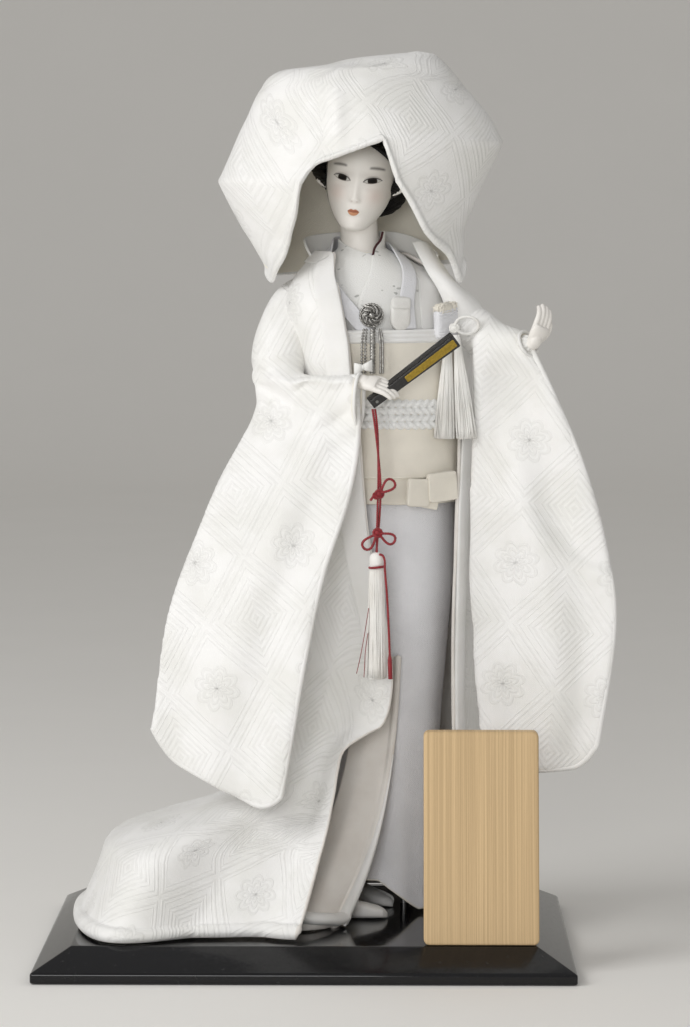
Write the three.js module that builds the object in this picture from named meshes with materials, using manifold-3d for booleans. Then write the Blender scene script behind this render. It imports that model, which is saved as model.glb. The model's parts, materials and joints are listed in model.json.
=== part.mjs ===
// A Japanese bride doll in a white hood and robe, standing on a lacquered board with a bare name board.
// Millimetres, +Z up, origin at the middle of the board's underside, the doll facing -Y.

import * as THREE from "three";
import { mergeVertices } from "three/addons/utils/BufferGeometryUtils.js";
import Module from "manifold-3d";

// Driving dimensions. Heights of the doll are above the top of the display board.
const CLEAR = 0.4; // gap between pieces that touch
const CLOTH = 2.0; // robe cloth with its lining
const SLIVER = 0.02; // finest detail kept in a cut piece

const BOARD = { width: 300, depth: 225, edge: 5.5, height: 17, bevel: 20.5 };
const ROD = { radius: 2.5, x: 56, y: 34, belowJoint: 19, end: 2 };
const NUT = { across: 10, height: 4, washer: 1.4, washerRadius: 7, recess: 9 };
const SIGN = { width: 64, height: 118, thick: 9, corner: 3, lean: 12, x: 98, back: 1 };
const STRUT = { width: 30, reach: 26, height: 52, thick: 8 };

// Body stations: height, centre x and y, half width, half depth, turn towards +X in degrees.
const TRUNK = [
  [5, 38, 26, 27, 33, 60],
  [100, 43, 28, 28, 32, 52],
  [200, 49, 29, 33, 32, 42],
  [255, 50, 29, 33, 29, 34],
  [295, 48, 28, 34, 28, 28],
  [328, 44, 27, 38, 27, 24],
  [350, 40, 27, 41, 25, 20],
  [364, 37, 27, 35, 20, 15],
  [376, 32, 26, 20, 15, 5],
  [384, 30, 25, 10.5, 10.5, 0],
];
const TRUNK_LEVELS = [60, 120, 180, 220, 238, 255, 280, 304, 324, 338, 349, 358, 366, 373];
const TRUNK_SIDES = 20;
const CORE = { bottom: 22, joint: 255, top: 379 };
const ARM = { radius: 5, wrist: 3.6 };
const RIGHT_ARM = { shoulder: [14, 27, 350], elbow: [-21, 14, 311], wrist: [25, -21, 305] };
const LEFT_ARM = { shoulder: [70, 28, 350], elbow: [102, 10, 327], wrist: [124, -10, 330] };
const WRIST_WIRE = { radius: 1.1, inside: 9 };
const HAND = { palm: 11, width: 4.6, thick: 2.7, finger: 12.5, fingerRadius: 1.35 };
const FOOT = { length: 42, width: 7, height: 13, cleft: 0.9 };
const RIGHT_FOOT = { x: 46, y: -12, turn: 4 };
const LEFT_FOOT = { x: 49, y: 19, turn: -36 };

const HEAD = { x: 30, y: 21, z: 423, roll: 8, turn: -5, nod: 6, neck: 8.2 };
const NECK_BOTTOM = CORE.top + 2 * CLEAR;
const PEG = { radius: 3, depth: 24, inHead: 12 };
// Head stations: height from its middle, half width, middle of depth, half depth.
const SKULL = [
  [-28, 3.5, -14, 3.5],
  [-26, 8, -11, 9.5],
  [-18, 14.5, -4, 18.5],
  [-8, 18.6, -1, 23],
  [4, 20, 0, 25],
  [14, 19.8, 1, 25],
  [22, 15.5, 2, 20],
  [26.5, 9, 2, 11.5],
  [28, 2, 2, 2.5],
];
const HAIR = { side: 30, deep: 31, high: 25, bun: 16, bunHigh: 22, bunAt: 46, faceWide: 20.5, hairline: 19 };
// Hood stations: height from the board, middle x, half width, half depth.
const HOOD_FORM = [
  [359, 34, 52, 45],
  [387, 29, 61, 48],
  [408, 26, 70, 51],
  [424, 27, 76, 52],
  [441, 33, 77, 51],
  [457, 35, 69, 48],
  [473, 34, 58, 42],
  [486, 37, 44, 32],
  [492, 46, 28, 22],
  [496, 56, 3, 2],
];
// Hood rim: angle from the front towards +X, height from the board.
const HOOD_RIM = [
  [-180, 371],
  [-95, 369],
  [-66, 367],
  [-46, 384],
  [-38, 401],
  [-28, 423],
  [-25, 435],
  [-16, 440],
  [11, 446],
  [18, 430],
  [37, 392],
  [52, 377],
  [68, 361],
  [84, 375],
  [110, 377],
  [180, 371],
];
const HOOD = { y: 27, wall: 1.8, square: 1.7, rows: 9, crown: 0.06, crownExtra: 2.6 };

const KIMONO = { bottom: 0.8, top: 374, wall: 2, hemLift: 16, hemFrom: 20, hemTo: 62 };
const OBI = { bottom: 254, top: 330, wall: 3 };
const OBI_SCARF = { height: 7, wall: 3.6 };
const OBI_CORD = { radius: 2.2, strands: 3, above: 284, rise: 4.4 };
const OBI_BOW = { width: 54, height: 56, thick: 15, angle: 112, z: 292, humpTurn: 46, humpHigh: 42 };
const SASH = { height: 15, wall: 2.6 };
const SASH_BOW = { width: 30, height: 17, thick: 4, angle: 300 };
const UNDER_COLLAR = { width: 9, thick: 0.9, lift: 1.4, over: 1.4 };
const KIMONO_COLLAR = { width: 10, thick: 1.1, lift: 4, over: 1.8, below: 8 };
// Neck opening from the lower front end on -X round the neck to the end that lies on top: angle, height.
const NECKLINE = [
  [283, 352],
  [262, 362],
  [236, 374],
  [190, 383],
  [140, 386],
  [90, 386],
  [40, 385],
  [-10, 383],
  [-52, 376],
  [-80, 364],
  [-97, 352],
];
const BAND_EASE = 5; // height over which a band follows the slope of the body
const BAND_STEPS = 36;
const SKIN = CLEAR + KIMONO.wall; // lift of the kimono's outside from the body
const OBI_OUT = SKIN + CLEAR + OBI.wall; // lift of the obi's outside
const HEM_HEIGHT = 1.5 * CLEAR; // height of the hems over the board

// Robe hem on the board from the front edge on -X round the back: x, y, angle on the body, flare power.
const ROBE_HEM = [
  [0, -2, -80, 258, 3.2, 0],
  [0.1, -26, -74, 244, 3.2, 0],
  [0.2, -62, -74, 229, 2.8, 0.2],
  [0.3, -109, -86, 214, 2.2, 0.7],
  [0.4, -134, 2, 192, 1.35, 1],
  [0.5, -100, 56, 170, 1.5, 0.9],
  [0.6, -36, 82, 144, 1.7, 0.4],
  [0.7, 38, 89, 104, 1.6, 0],
  [0.8, 98, 68, 46, 1.4, 0],
  [0.9, 112, 24, 4, 1.3, 0],
  [1, 90, -14, -40, 1.3, 0],
];
// Turn of the robe's two front edges against their angles at the hem: height, degrees on -X, degrees on +X.
const ROBE_EDGE = [
  [0, 0, 0],
  [60, 2, 0],
  [92, 6, 0],
  [120, 22, 0],
  [160, 16, 0],
  [220, -6, 2],
  [300, -14, 20],
  [345, -15, 38],
  [380, -16, 20],
];
// The train stands up as a shelf: its top, the height where it is full, and the share of the flare it takes.
const TRAIN = { top: 80, full: 42, share: 0.65, power: 2.2 };
const ROBE = { top: 380, flare: 236, lift: 12, neckLift: 10.4, pleats: 7, pleat: 2.6, edgeReach: 0.28 };
const ROBE_COLUMNS = 32;
const ROBE_ROWS = [380, 370, 356, 338, 310, 274, 236, 196, 158, 124, 96, 76, 60, 40, 18];
const ROBE_COLLAR = {
  thick: 1.6,
  gap: 1.4,
  low: 150,
  neck: 370,
  rightColumns: 3,
  leftColumns: 1,
  mitre: 0.004,
};
const TRAIN_PAD = { top: 60, from: 0.24, to: 0.62 };
// Second hem layer from its front edge: x, y, angle on the body, flare power.
const SECOND_HEM = [
  [0, 24, -30, 284, 3, 0],
  [0.5, 2, -52, 258, 3, 0],
  [1, -22, -50, 238, 3, 0],
];
const SECOND = { top: 150, flare: 150, wall: 1.6, pleats: 2, pleat: 1.2, edgeReach: 1 };

// Sleeve outlines from top to bottom: the edge at the body side and the edge at the far side.
const RIGHT_SLEEVE = {
  outer: [
    [-33, 16, 319],
    [-29, 10, 296],
    [-46, 0, 258],
    [-68, -12, 206],
    [-81, -22, 158],
    [-87, -30, 100],
  ],
  inner: [
    [27, -24, 313],
    [29, -28, 280],
    [23, -36, 244],
    [9, -44, 200],
    [-1, -52, 150],
    [-14, -60, 66],
  ],
  bulge: 7,
  round: 60,
  upper: [
    [10, 26, 347],
    [-8, 20, 331],
    [-17, 12, 315],
  ],
  radii: [16, 20, 15],
};
const LEFT_SLEEVE = {
  outer: [
    [127, -12, 328],
    [140, -17, 300],
    [155, -19, 264],
    [168, -20, 218],
    [174, -19, 168],
    [165, -17, 90],
  ],
  inner: [
    [98, 14, 338],
    [97, 11, 298],
    [95, 8, 250],
    [94, 5, 200],
    [96, 1, 150],
    [102, -6, 84],
  ],
  bulge: 6,
  round: 60,
  upper: [
    [74, 29, 347],
    [91, 22, 339],
    [108, 8, 329],
  ],
  radii: [12, 13.5, 10],
};
const SLEEVE = {
  top: 15,
  bottom: 4.5,
  armAt: 0.03,
  armSpread: 0.075,
  fold: 5,
  folds: 2,
  mouth: 5.6,
  mouthDepth: 8,
  cover: 96,
  coverDepth: 2,
  chest: 170,
};

const PURSE = { width: 12, height: 19, thick: 4, corner: 4, angle: 291, z: 347, lift: 8.2 };
const ORNAMENT = { radius: 7, thick: 4, angle: 271, z: 346, lift: 10.2 };
const CHAINS = { count: 4, length: 25, spread: 14, radius: 0.9 };
const CHAIN_BOW = { width: 9, height: 7, thick: 2.4 };
const DAGGER = { width: 17, height: 24, thick: 6, corner: 3, angle: 325, z: 347, lift: 8.6, tilt: -12 };
const DAGGER_LOOP = { radius: 1.1, width: 13, height: 10 };
const DAGGER_KNOT = { radius: 3.2, turn: -2, below: 9, sink: 0.9 };
const DAGGER_TASSEL = { top: 1.8, bottom: 6.5, length: 62, flutes: 5, apart: 2.4, forward: -8 };
const DAGGER_LEAN = { right: -2.4, left: 6 }; // sideways drift of each tassel's end

const FAN = {
  length: 60,
  tip: 8,
  butt: 5.2,
  guard: 1.3,
  ribs: 3.2,
  pinRadius: 0.9,
  pinAt: 3.5,
  slope: 37,
  yaw: 3,
  roll: 25,
};
const FAN_BUTT = [36, -27, 297];
const FAN_CORD = { radius: 1.2 };
// Cord points from the fan's butt down to the tassel: x, y, z from the butt.
const FAN_CORD_ROUTE = [
  [2, -2.6, -3.2],
  [3.4, -5, -14],
  [4.6, -7.6, -30],
  [5.2, -8.6, -46],
  [4.7, -8.8, -62],
  [4.0, -9, -76],
  [3.6, -9, -85],
];
const FAN_BOWS = { upperShare: 0.58, lowerShare: 0.88, boreShare: 0.06, knot: 2.6, loop: 0.9, span: 10 };
const TASSEL = { head: 4.4, top: 3.4, bottom: 8.5, length: 64, flutes: 6 };
const RED_STRAND = { top: 0.9, bottom: 1.9, length: 62, lean: 3.4, off: 4, front: 3.8 };

// Maths helpers.
const rad = THREE.MathUtils.degToRad;
const at = (p) => new THREE.Vector3(...p);

// Values of rows [key, ...values] at a key, on a smooth curve through the rows and held past both ends.
function along(rows, key) {
  const last = rows.length - 1;
  const k = Math.min(Math.max(key, rows[0][0]), rows[last][0]);
  let i = 0;
  while (i < last - 1 && rows[i + 1][0] < k) i++;
  const span = rows[i + 1][0] - rows[i][0];
  const u = (k - rows[i][0]) / span;
  const slope = (row, column) => {
    const low = rows[Math.max(row - 1, 0)];
    const high = rows[Math.min(row + 1, last)];
    return (high[column] - low[column]) / (high[0] - low[0]);
  };
  return rows[i].slice(1).map((value, j) => {
    const next = rows[i + 1][j + 1];
    const bend = (u - 1) * ((u - 1) * slope(i, j + 1) + u * slope(i + 1, j + 1)) * u * span;
    const blend = u * u * (3 - 2 * u);
    return value + (next - value) * blend + bend;
  });
}

const steps = (count, from = 0, to = 1) =>
  Array.from({ length: count + 1 }, (_, i) => from + ((to - from) * i) / count);

// Solid helpers.
const wasm = await Module();
wasm.setup();

function surface(points, triangles) {
  const geometry = new THREE.BufferGeometry();
  const flat = points.flatMap((p) => [p.x, p.y, p.z]);
  geometry.setAttribute("position", new THREE.Float32BufferAttribute(flat, 3));
  geometry.setIndex(triangles);
  return facingOut(geometry);
}

// Turns every triangle round when the enclosed volume comes out negative.
function facingOut(geometry) {
  const p = geometry.attributes.position;
  const index = geometry.index.array;
  const corner = (i) => new THREE.Vector3().fromBufferAttribute(p, index[i]);
  let volume = 0;
  for (let i = 0; i < index.length; i += 3) {
    volume += corner(i).dot(corner(i + 1).cross(corner(i + 2)));
  }
  if (volume < 0) {
    for (let i = 0; i < index.length; i += 3) {
      [index[i + 1], index[i + 2]] = [index[i + 2], index[i + 1]];
    }
  }
  return geometry;
}

const quad = (a, b, c, d) => [a, b, c, a, c, d];

// A solid through closed rings of equal length, with a fan of triangles over each end.
function loft(rings) {
  const n = rings[0].length;
  const points = rings.flat();
  const triangles = [];
  for (let i = 0; i + 1 < rings.length; i++) {
    for (let j = 0; j < n; j++) {
      const k = (j + 1) % n;
      triangles.push(...quad(i * n + j, i * n + k, (i + 1) * n + k, (i + 1) * n + j));
    }
  }
  const middle = (ring) => ring.reduce((sum, p) => sum.add(p), new THREE.Vector3()).divideScalar(n);
  const first = points.push(middle(rings[0])) - 1;
  const end = points.push(middle(rings.at(-1))) - 1;
  const base = (rings.length - 1) * n;
  for (let j = 0; j < n; j++) {
    const k = (j + 1) % n;
    triangles.push(first, k, j, end, base + j, base + k);
  }
  return surface(points, triangles);
}

// An open-ended pipe between outer and inner rings.
function pipe(outer, inner) {
  const n = outer[0].length;
  const loop = [...outer, ...[...inner].reverse()];
  const points = loop.flat();
  const triangles = [];
  for (let i = 0; i < loop.length; i++) {
    const next = (i + 1) % loop.length;
    for (let j = 0; j < n; j++) {
      const k = (j + 1) % n;
      triangles.push(...quad(i * n + j, i * n + k, next * n + k, next * n + j));
    }
  }
  return surface(points, triangles);
}

// A slab between two open grids of rows, closed round its four edges.
function slab(front, back) {
  const rows = front.length;
  const n = front[0].length;
  const points = [...front.flat(), ...back.flat()];
  const far = rows * n;
  const triangles = [];
  for (let i = 0; i + 1 < rows; i++) {
    for (let j = 0; j + 1 < n; j++) {
      const a = i * n + j;
      triangles.push(...quad(a, a + 1, a + n + 1, a + n));
      triangles.push(...quad(far + a, far + a + n, far + a + n + 1, far + a + 1));
    }
  }
  const wall = (a, b) => triangles.push(...quad(b, a, far + a, far + b));
  for (let j = 0; j + 1 < n; j++) {
    wall(j, j + 1);
    wall((rows - 1) * n + j + 1, (rows - 1) * n + j);
  }
  for (let i = 0; i + 1 < rows; i++) {
    wall((i + 1) * n, i * n);
    wall(i * n + n - 1, (i + 1) * n + n - 1);
  }
  return surface(points, triangles);
}

// Grid of a surface function moved along its own normal.
function offsetGrid(point, us, vs, shift) {
  const e = 1e-3;
  return vs.map((v) =>
    us.map((u) => {
      const p = point(u, v);
      const du = point(Math.min(u + e, 1), v).sub(point(Math.max(u - e, 0), v));
      const dv = point(u, Math.min(v + e, 1)).sub(point(u, Math.max(v - e, 0)));
      return p.addScaledVector(du.cross(dv).normalize(), typeof shift === "function" ? shift(u, v) : shift);
    }),
  );
}

// A limb with round sections of changing radius along points.
function limb(points, radii, sides = 8, count = 5) {
  const curve = new THREE.CatmullRomCurve3(points.map(at));
  const frames = curve.computeFrenetFrames(count, false);
  const rows = radii.map((r, i) => [i / (radii.length - 1), r]);
  return loft(
    steps(count).map((t, i) => {
      const [r] = along(rows, t);
      return ring(sides, (c, s) =>
        curve
          .getPointAt(t)
          .addScaledVector(frames.normals[i], r * c)
          .addScaledVector(frames.binormals[i], r * s),
      );
    }),
  );
}

const ring = (sides, point) =>
  Array.from({ length: sides }, (_, j) => {
    const a = (2 * Math.PI * j) / sides;
    return point(Math.cos(a), Math.sin(a), a);
  });

// A tube of even radius along a curve.
function tube(curve, radius, sides = 8, count = 12) {
  const section = new THREE.Shape(ring(sides, (c, s) => new THREE.Vector2(radius * c, radius * s)));
  return new THREE.ExtrudeGeometry(section, { steps: count, bevelEnabled: false, extrudePath: curve });
}

const ball = (radius, x, y, z, across = 12, up = 8) =>
  new THREE.SphereGeometry(radius, across, up).translate(x, y, z);

function post(radius, from, to, x = 0, y = 0, sides = 16) {
  return new THREE.CylinderGeometry(radius, radius, to - from, sides)
    .rotateX(Math.PI / 2)
    .translate(x, y, (from + to) / 2);
}

// A plate with round corners in the XZ plane, its back at y and its face towards -Y.
function plate(width, height, thick, corner) {
  const w = width / 2;
  const h = height / 2;
  const shape = new THREE.Shape()
    .moveTo(corner - w, -h)
    .lineTo(w - corner, -h)
    .absarc(w - corner, corner - h, corner, -Math.PI / 2, 0)
    .lineTo(w, h - corner)
    .absarc(w - corner, h - corner, corner, 0, Math.PI / 2)
    .lineTo(corner - w, h)
    .absarc(corner - w, h - corner, corner, Math.PI / 2, Math.PI)
    .lineTo(-w, corner - h)
    .absarc(corner - w, corner - h, corner, Math.PI, 1.5 * Math.PI);
  return new THREE.ExtrudeGeometry(shape, { depth: thick, bevelEnabled: false, curveSegments: 2 }).rotateX(
    Math.PI / 2,
  );
}

function solid(geometry) {
  const bare = new THREE.BufferGeometry();
  bare.setAttribute("position", geometry.attributes.position.clone());
  if (geometry.index) bare.setIndex(geometry.index.clone());
  const merged = mergeVertices(bare, 1e-4);
  return new wasm.Manifold(
    new wasm.Mesh({
      numProp: 3,
      vertProperties: new Float32Array(merged.attributes.position.array),
      triVerts: new Uint32Array(merged.index.array),
    }),
  );
}

// A boolean's result without the slivers that are thinner than the tolerance.
function geometryOf(body) {
  const mesh = body.asOriginal().simplify(SLIVER).getMesh();
  const geometry = new THREE.BufferGeometry();
  geometry.setAttribute("position", new THREE.BufferAttribute(new Float32Array(mesh.vertProperties), 3));
  geometry.setIndex(new THREE.BufferAttribute(new Uint32Array(mesh.triVerts), 1));
  return geometry;
}

const join = (...pieces) => geometryOf(pieces.map(solid).reduce((sum, next) => sum.add(next)));
const cut = (piece, ...tools) =>
  geometryOf(tools.map(solid).reduce((rest, tool) => rest.subtract(tool), solid(piece)));
// The largest body of a piece, without crumbs that a cut has left.
function whole(piece) {
  const bodies = solid(piece).decompose();
  return geometryOf(bodies.reduce((big, next) => (next.volume() > big.volume() ? next : big)));
}
const common = (piece, limit) => geometryOf(solid(piece).intersect(solid(limit)));

// Body surface: a point at an angle (0 towards +X, 90 to the back, 270 to the front) and height.
function onTrunk(angle, z, lift = 0) {
  const [x, y, a, b, turn] = along(TRUNK, z);
  const p = rad(angle - turn);
  const t = rad(turn);
  const u = (a + lift) * Math.cos(p);
  const v = (b + lift) * Math.sin(p);
  return new THREE.Vector3(x + u * Math.cos(t) - v * Math.sin(t), y + u * Math.sin(t) + v * Math.cos(t), z);
}

// Every layer on the body shares these heights and angles, so that the layers keep their gaps.
const levels = (from, to) => [from, ...TRUNK_LEVELS.filter((z) => z > from + 1 && z < to - 1), to];
const trunkRing = (z, lift) => ring(TRUNK_SIDES, (c, s, a) => onTrunk(THREE.MathUtils.radToDeg(a), z, lift));
const trunkBody = (zs, lift) => loft(zs.map((z) => trunkRing(z, lift)));
const trunkPipe = (zs, inner, outer) =>
  pipe(
    zs.map((z) => trunkRing(z, outer)),
    zs.map((z) => trunkRing(z, inner)),
  );

// A flat band laid on the body along a path of [angle, height] with a changing lift.
function band(path, { width, thick }, lift, over) {
  const count = BAND_STEPS;
  const curve = new THREE.CatmullRomCurve3(path.map(([angle, z]) => new THREE.Vector3(angle, z, 0)));
  const place = (t, more) => {
    const p = curve.getPoint(THREE.MathUtils.clamp(t, 0, 1));
    return onTrunk(p.x, p.y, lift + over * t + more);
  };
  return loft(
    steps(count).map((t) => {
      const p = curve.getPoint(t);
      const low = place(t, 0);
      const way = place(t + 0.01, 0).sub(place(t - 0.01, 0)).normalize();
      const round = onTrunk(p.x + 0.5, p.y, lift).sub(onTrunk(p.x - 0.5, p.y, lift));
      const up = onTrunk(p.x, p.y + BAND_EASE, lift).sub(onTrunk(p.x, p.y - BAND_EASE, lift));
      const out = round.cross(up).normalize();
      const side = out.clone().cross(way).normalize();
      const corner = (across, height) =>
        low.clone().addScaledVector(side, across * width).addScaledVector(out, height * thick);
      return [corner(-0.5, 0), corner(0.5, 0), corner(0.5, 1), corner(-0.5, 1)];
    }),
  );
}

// Placed on the body: the piece's own -Y face looks out at that angle.
function placedOnTrunk(geometry, angle, z, lift, tilt = 0) {
  const p = onTrunk(angle, z, lift);
  const q = onTrunk(angle + 1, z, lift);
  const turn = Math.atan2(q.y - p.y, q.x - p.x);
  return geometry.rotateY(rad(tilt)).rotateZ(turn).translate(p.x, p.y, p.z);
}

// Board, stand and name board.
function board() {
  const corners = (inset, z) => {
    const x = BOARD.width / 2 - inset;
    const y = BOARD.depth / 2 - inset;
    return [
      [-x, -y, z],
      [x, -y, z],
      [x, y, z],
      [-x, y, z],
    ].map(at);
  };
  const block = loft([corners(0, 0), corners(0, BOARD.edge), corners(BOARD.bevel, BOARD.height)]);
  return cut(
    block,
    post(ROD.radius + CLEAR, -1, BOARD.height + 1, ROD.x, ROD.y),
    post(NUT.washerRadius + CLEAR, -1, NUT.recess, ROD.x, ROD.y),
  );
}

const rodTop = () => CORE.joint - ROD.belowJoint;
const standRod = () => post(ROD.radius, ROD.end, BOARD.height + rodTop(), ROD.x, ROD.y);

function washer() {
  const top = NUT.recess - CLEAR;
  const disc = post(NUT.washerRadius, top - NUT.washer, top, ROD.x, ROD.y);
  return cut(disc, post(ROD.radius + CLEAR, 0, NUT.recess, ROD.x, ROD.y));
}

function nut() {
  const top = NUT.recess - NUT.washer - 2 * CLEAR;
  const hexagon = post(NUT.across / Math.sqrt(3), top - NUT.height, top, ROD.x, ROD.y, 6);
  return cut(hexagon, post(ROD.radius + CLEAR, 0, NUT.recess, ROD.x, ROD.y));
}

const signFront = () => BOARD.bevel - BOARD.depth / 2 + SIGN.back;

// The leaning board, trimmed level where it stands.
function nameBoard() {
  const y = signFront();
  const below = SIGN.thick * Math.tan(rad(SIGN.lean)) + 2;
  const panel = plate(SIGN.width, SIGN.height + below, SIGN.thick, SIGN.corner)
    .translate(0, SIGN.thick, (SIGN.height - below) / 2)
    .rotateX(rad(-SIGN.lean))
    .translate(SIGN.x, y, CLEAR);
  const deep = SIGN.height / 2;
  const floor = new THREE.BoxGeometry(2 * SIGN.width, 2 * deep, deep).translate(SIGN.x, y, CLEAR - deep / 2);
  return cut(panel, floor);
}

// A wedge behind the name board, parallel to its back.
function nameBoardStrut() {
  const back = signFront() + SIGN.thick / Math.cos(rad(SIGN.lean)) + CLEAR;
  const lean = Math.tan(rad(SIGN.lean));
  const shape = new THREE.Shape()
    .moveTo(0, 0)
    .lineTo(STRUT.reach, 0)
    .lineTo(STRUT.height * lean + STRUT.thick / 2, STRUT.height)
    .lineTo(STRUT.height * lean, STRUT.height);
  return new THREE.ExtrudeGeometry(shape, { depth: STRUT.width, bevelEnabled: false })
    .rotateX(Math.PI / 2)
    .rotateZ(Math.PI / 2)
    .translate(SIGN.x - STRUT.width / 2, back + CLEAR, CLEAR);
}

// Body core, arms, hands and feet.
const armCurve = (arm) => new THREE.CatmullRomCurve3([arm.shoulder, arm.elbow, arm.wrist].map(at));
function armLimb(arm, grow = 0) {
  const r = ARM.radius + grow;
  return limb([arm.shoulder, arm.elbow, arm.wrist], [r, r, ARM.wrist + grow], 10, 6);
}
const forearm = (arm) => at(arm.wrist).sub(armCurve(arm).getPointAt(0.9)).normalize();

function wristWire(arm, grow = 0) {
  const way = forearm(arm);
  const wrist = at(arm.wrist);
  const line = new THREE.LineCurve3(
    wrist.clone().addScaledVector(way, -WRIST_WIRE.inside - grow),
    wrist.clone().addScaledVector(way, HAND.palm / 2 + grow),
  );
  return tube(line, WRIST_WIRE.radius + grow, 8, 1);
}

function legCore() {
  const body = trunkBody(levels(CORE.bottom, CORE.joint - CLEAR), 0);
  const bore = post(ROD.radius + CLEAR, 0, rodTop() + CLEAR, ROD.x, ROD.y);
  return cut(body, bore);
}

function torsoCore() {
  const body = trunkBody(levels(CORE.joint, CORE.top), 0);
  const bore = post(PEG.radius + CLEAR, CORE.top - PEG.depth - CLEAR, CORE.top + 2, HEAD.x, HEAD.y + 4);
  return cut(body, bore, armLimb(RIGHT_ARM, CLEAR), armLimb(LEFT_ARM, CLEAR));
}

const arm = (side) => cut(armLimb(side), wristWire(side, CLEAR));

// A hand reaching along +X from its wrist, palm towards -Z, thumb on the given side of Y.
function handForm(curl, thumb) {
  const palm = loft(
    [
      [0, 3.0, 3.0],
      [3, 3.3, 2.8],
      [HAND.palm * 0.6, HAND.width, HAND.thick],
      [HAND.palm, HAND.width * 1.02, HAND.thick * 0.85],
    ].map(([x, wide, thick]) => ring(10, (c, s) => new THREE.Vector3(x, wide * c, thick * s))),
  );
  const fingers = steps(3, -1, 1).map((k, i) => {
    const length = HAND.finger * (1 - 0.16 * Math.abs(k - 0.2));
    const y = k * HAND.width * 0.74;
    const bend = curl * (1 + 0.12 * i);
    const path = [[HAND.palm - 2.2, y, 0]];
    let angle = 0;
    for (const share of [0.42, 0.32, 0.26]) {
      angle += rad(bend);
      const [x0, , z0] = path.at(-1);
      const run = share * length + (path.length === 1 ? 2.2 : 0);
      path.push([x0 + run * Math.cos(angle), y * (1 + 0.05 * path.length), z0 - run * Math.sin(angle)]);
    }
    const r = HAND.fingerRadius;
    return limb(path, [r * 1.05, r, r * 0.9, r * 0.55], 6, 4);
  });
  const thumbPath = [
    [3.5, thumb * HAND.width * 0.5, -0.5],
    [7, thumb * HAND.width * 1.15, -1.6],
    [11, thumb * HAND.width * 1.3, -2.6],
    [14.5, thumb * HAND.width * 1.05, -3.4],
  ];
  const r = HAND.fingerRadius;
  return join(palm, ...fingers, limb(thumbPath, [r * 1.3, r * 1.25, r * 1.1, r * 0.6], 6, 4));
}

// A hand set on its wrist: the way it points, and the way the back of the hand looks.
function handOn(side, form, point, back) {
  const x = at(point).normalize();
  const z = at(back);
  z.addScaledVector(x, -z.dot(x)).normalize();
  const y = z.clone().cross(x);
  const start = at(side.wrist).addScaledVector(forearm(side), CLEAR);
  const pose = new THREE.Matrix4().makeBasis(x, y, z).setPosition(start);
  const sleeveSide = new THREE.LineCurve3(start.clone().addScaledVector(forearm(side), -30), start);
  return whole(cut(form.applyMatrix4(pose), wristWire(side, CLEAR), tube(sleeveSide, 2 * HAND.width, 10, 1)));
}

const rightHand = () => {
  const hand = handOn(RIGHT_ARM, handForm(20, 1), [0.87, -0.47, -0.06], [0.1, -0.35, 1]);
  return whole(cut(hand, fanBlock(CLEAR)));
};
const leftHand = () => handOn(LEFT_ARM, handForm(9, -1), [0.55, -0.18, 0.82], [0.72, -0.45, -0.4]);

// A foot in a split-toe sock, toes at the origin and heel towards -X.
function foot({ x, y, turn }, grow = 0) {
  const rows = [
    [0, 0.55, 0.28],
    [0.06, 0.82, 0.42],
    [0.22, 1, 0.56],
    [0.42, 0.9, 0.74],
    [0.62, 0.78, 1],
    [0.9, 0.74, 1],
    [1, 0.5, 0.8],
  ];
  const body = loft(
    rows.map(([u, wide, high]) =>
      ring(12, (c, s) => {
        const top = (FOOT.height * high + grow) * (1 + s) * 0.5;
        const back = grow - (FOOT.length + 2 * grow) * u;
        return new THREE.Vector3(back, (FOOT.width * wide + grow) * c, Math.max(top, 0));
      }),
    ),
  );
  const cleft = new THREE.BoxGeometry(14, FOOT.cleft, 40).translate(-3, FOOT.width * 0.32, 0);
  const shaped = grow ? body : cut(body, cleft);
  return shaped.rotateZ(rad(turn)).translate(x, y, CLEAR);
}

// Head, hair and hood.
function inHeadFrame(geometry) {
  return geometry
    .rotateY(rad(HEAD.roll))
    .rotateX(rad(HEAD.nod))
    .rotateZ(rad(HEAD.turn))
    .translate(HEAD.x, HEAD.y, HEAD.z);
}

function skull(grow) {
  return loft(
    steps(10, -28, 28).map((z) => {
      const [w, y, d] = along(SKULL, z);
      return ring(18, (c, s) => new THREE.Vector3((w + grow) * c, y + (d + grow) * s, z * (1 + grow / 28)));
    }),
  );
}

function head(grow = 0) {
  const nose = loft(
    [
      [3, 1.6, -23],
      [-6, 2.4, -26.5],
      [-9, 3, -27],
      [-10.5, 2.4, -24],
    ].map(([z, w, y]) => ring(8, (c, s) => new THREE.Vector3((w + grow) * c, y + 3 + (3 + grow) * s, z))),
  );
  const skin = inHeadFrame(join(skull(grow), nose));
  const neck = post(HEAD.neck + grow, NECK_BOTTOM - grow, HEAD.z - 10, HEAD.x, HEAD.y + 4, 16);
  const whole = join(skin, neck);
  return grow ? whole : cut(whole, neckPeg(CLEAR));
}

function neckPeg(grow = 0) {
  const foot = CORE.top - PEG.depth;
  return post(PEG.radius + grow, foot - grow, NECK_BOTTOM + PEG.inHead + grow, HEAD.x, HEAD.y + 4, 12);
}

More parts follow.
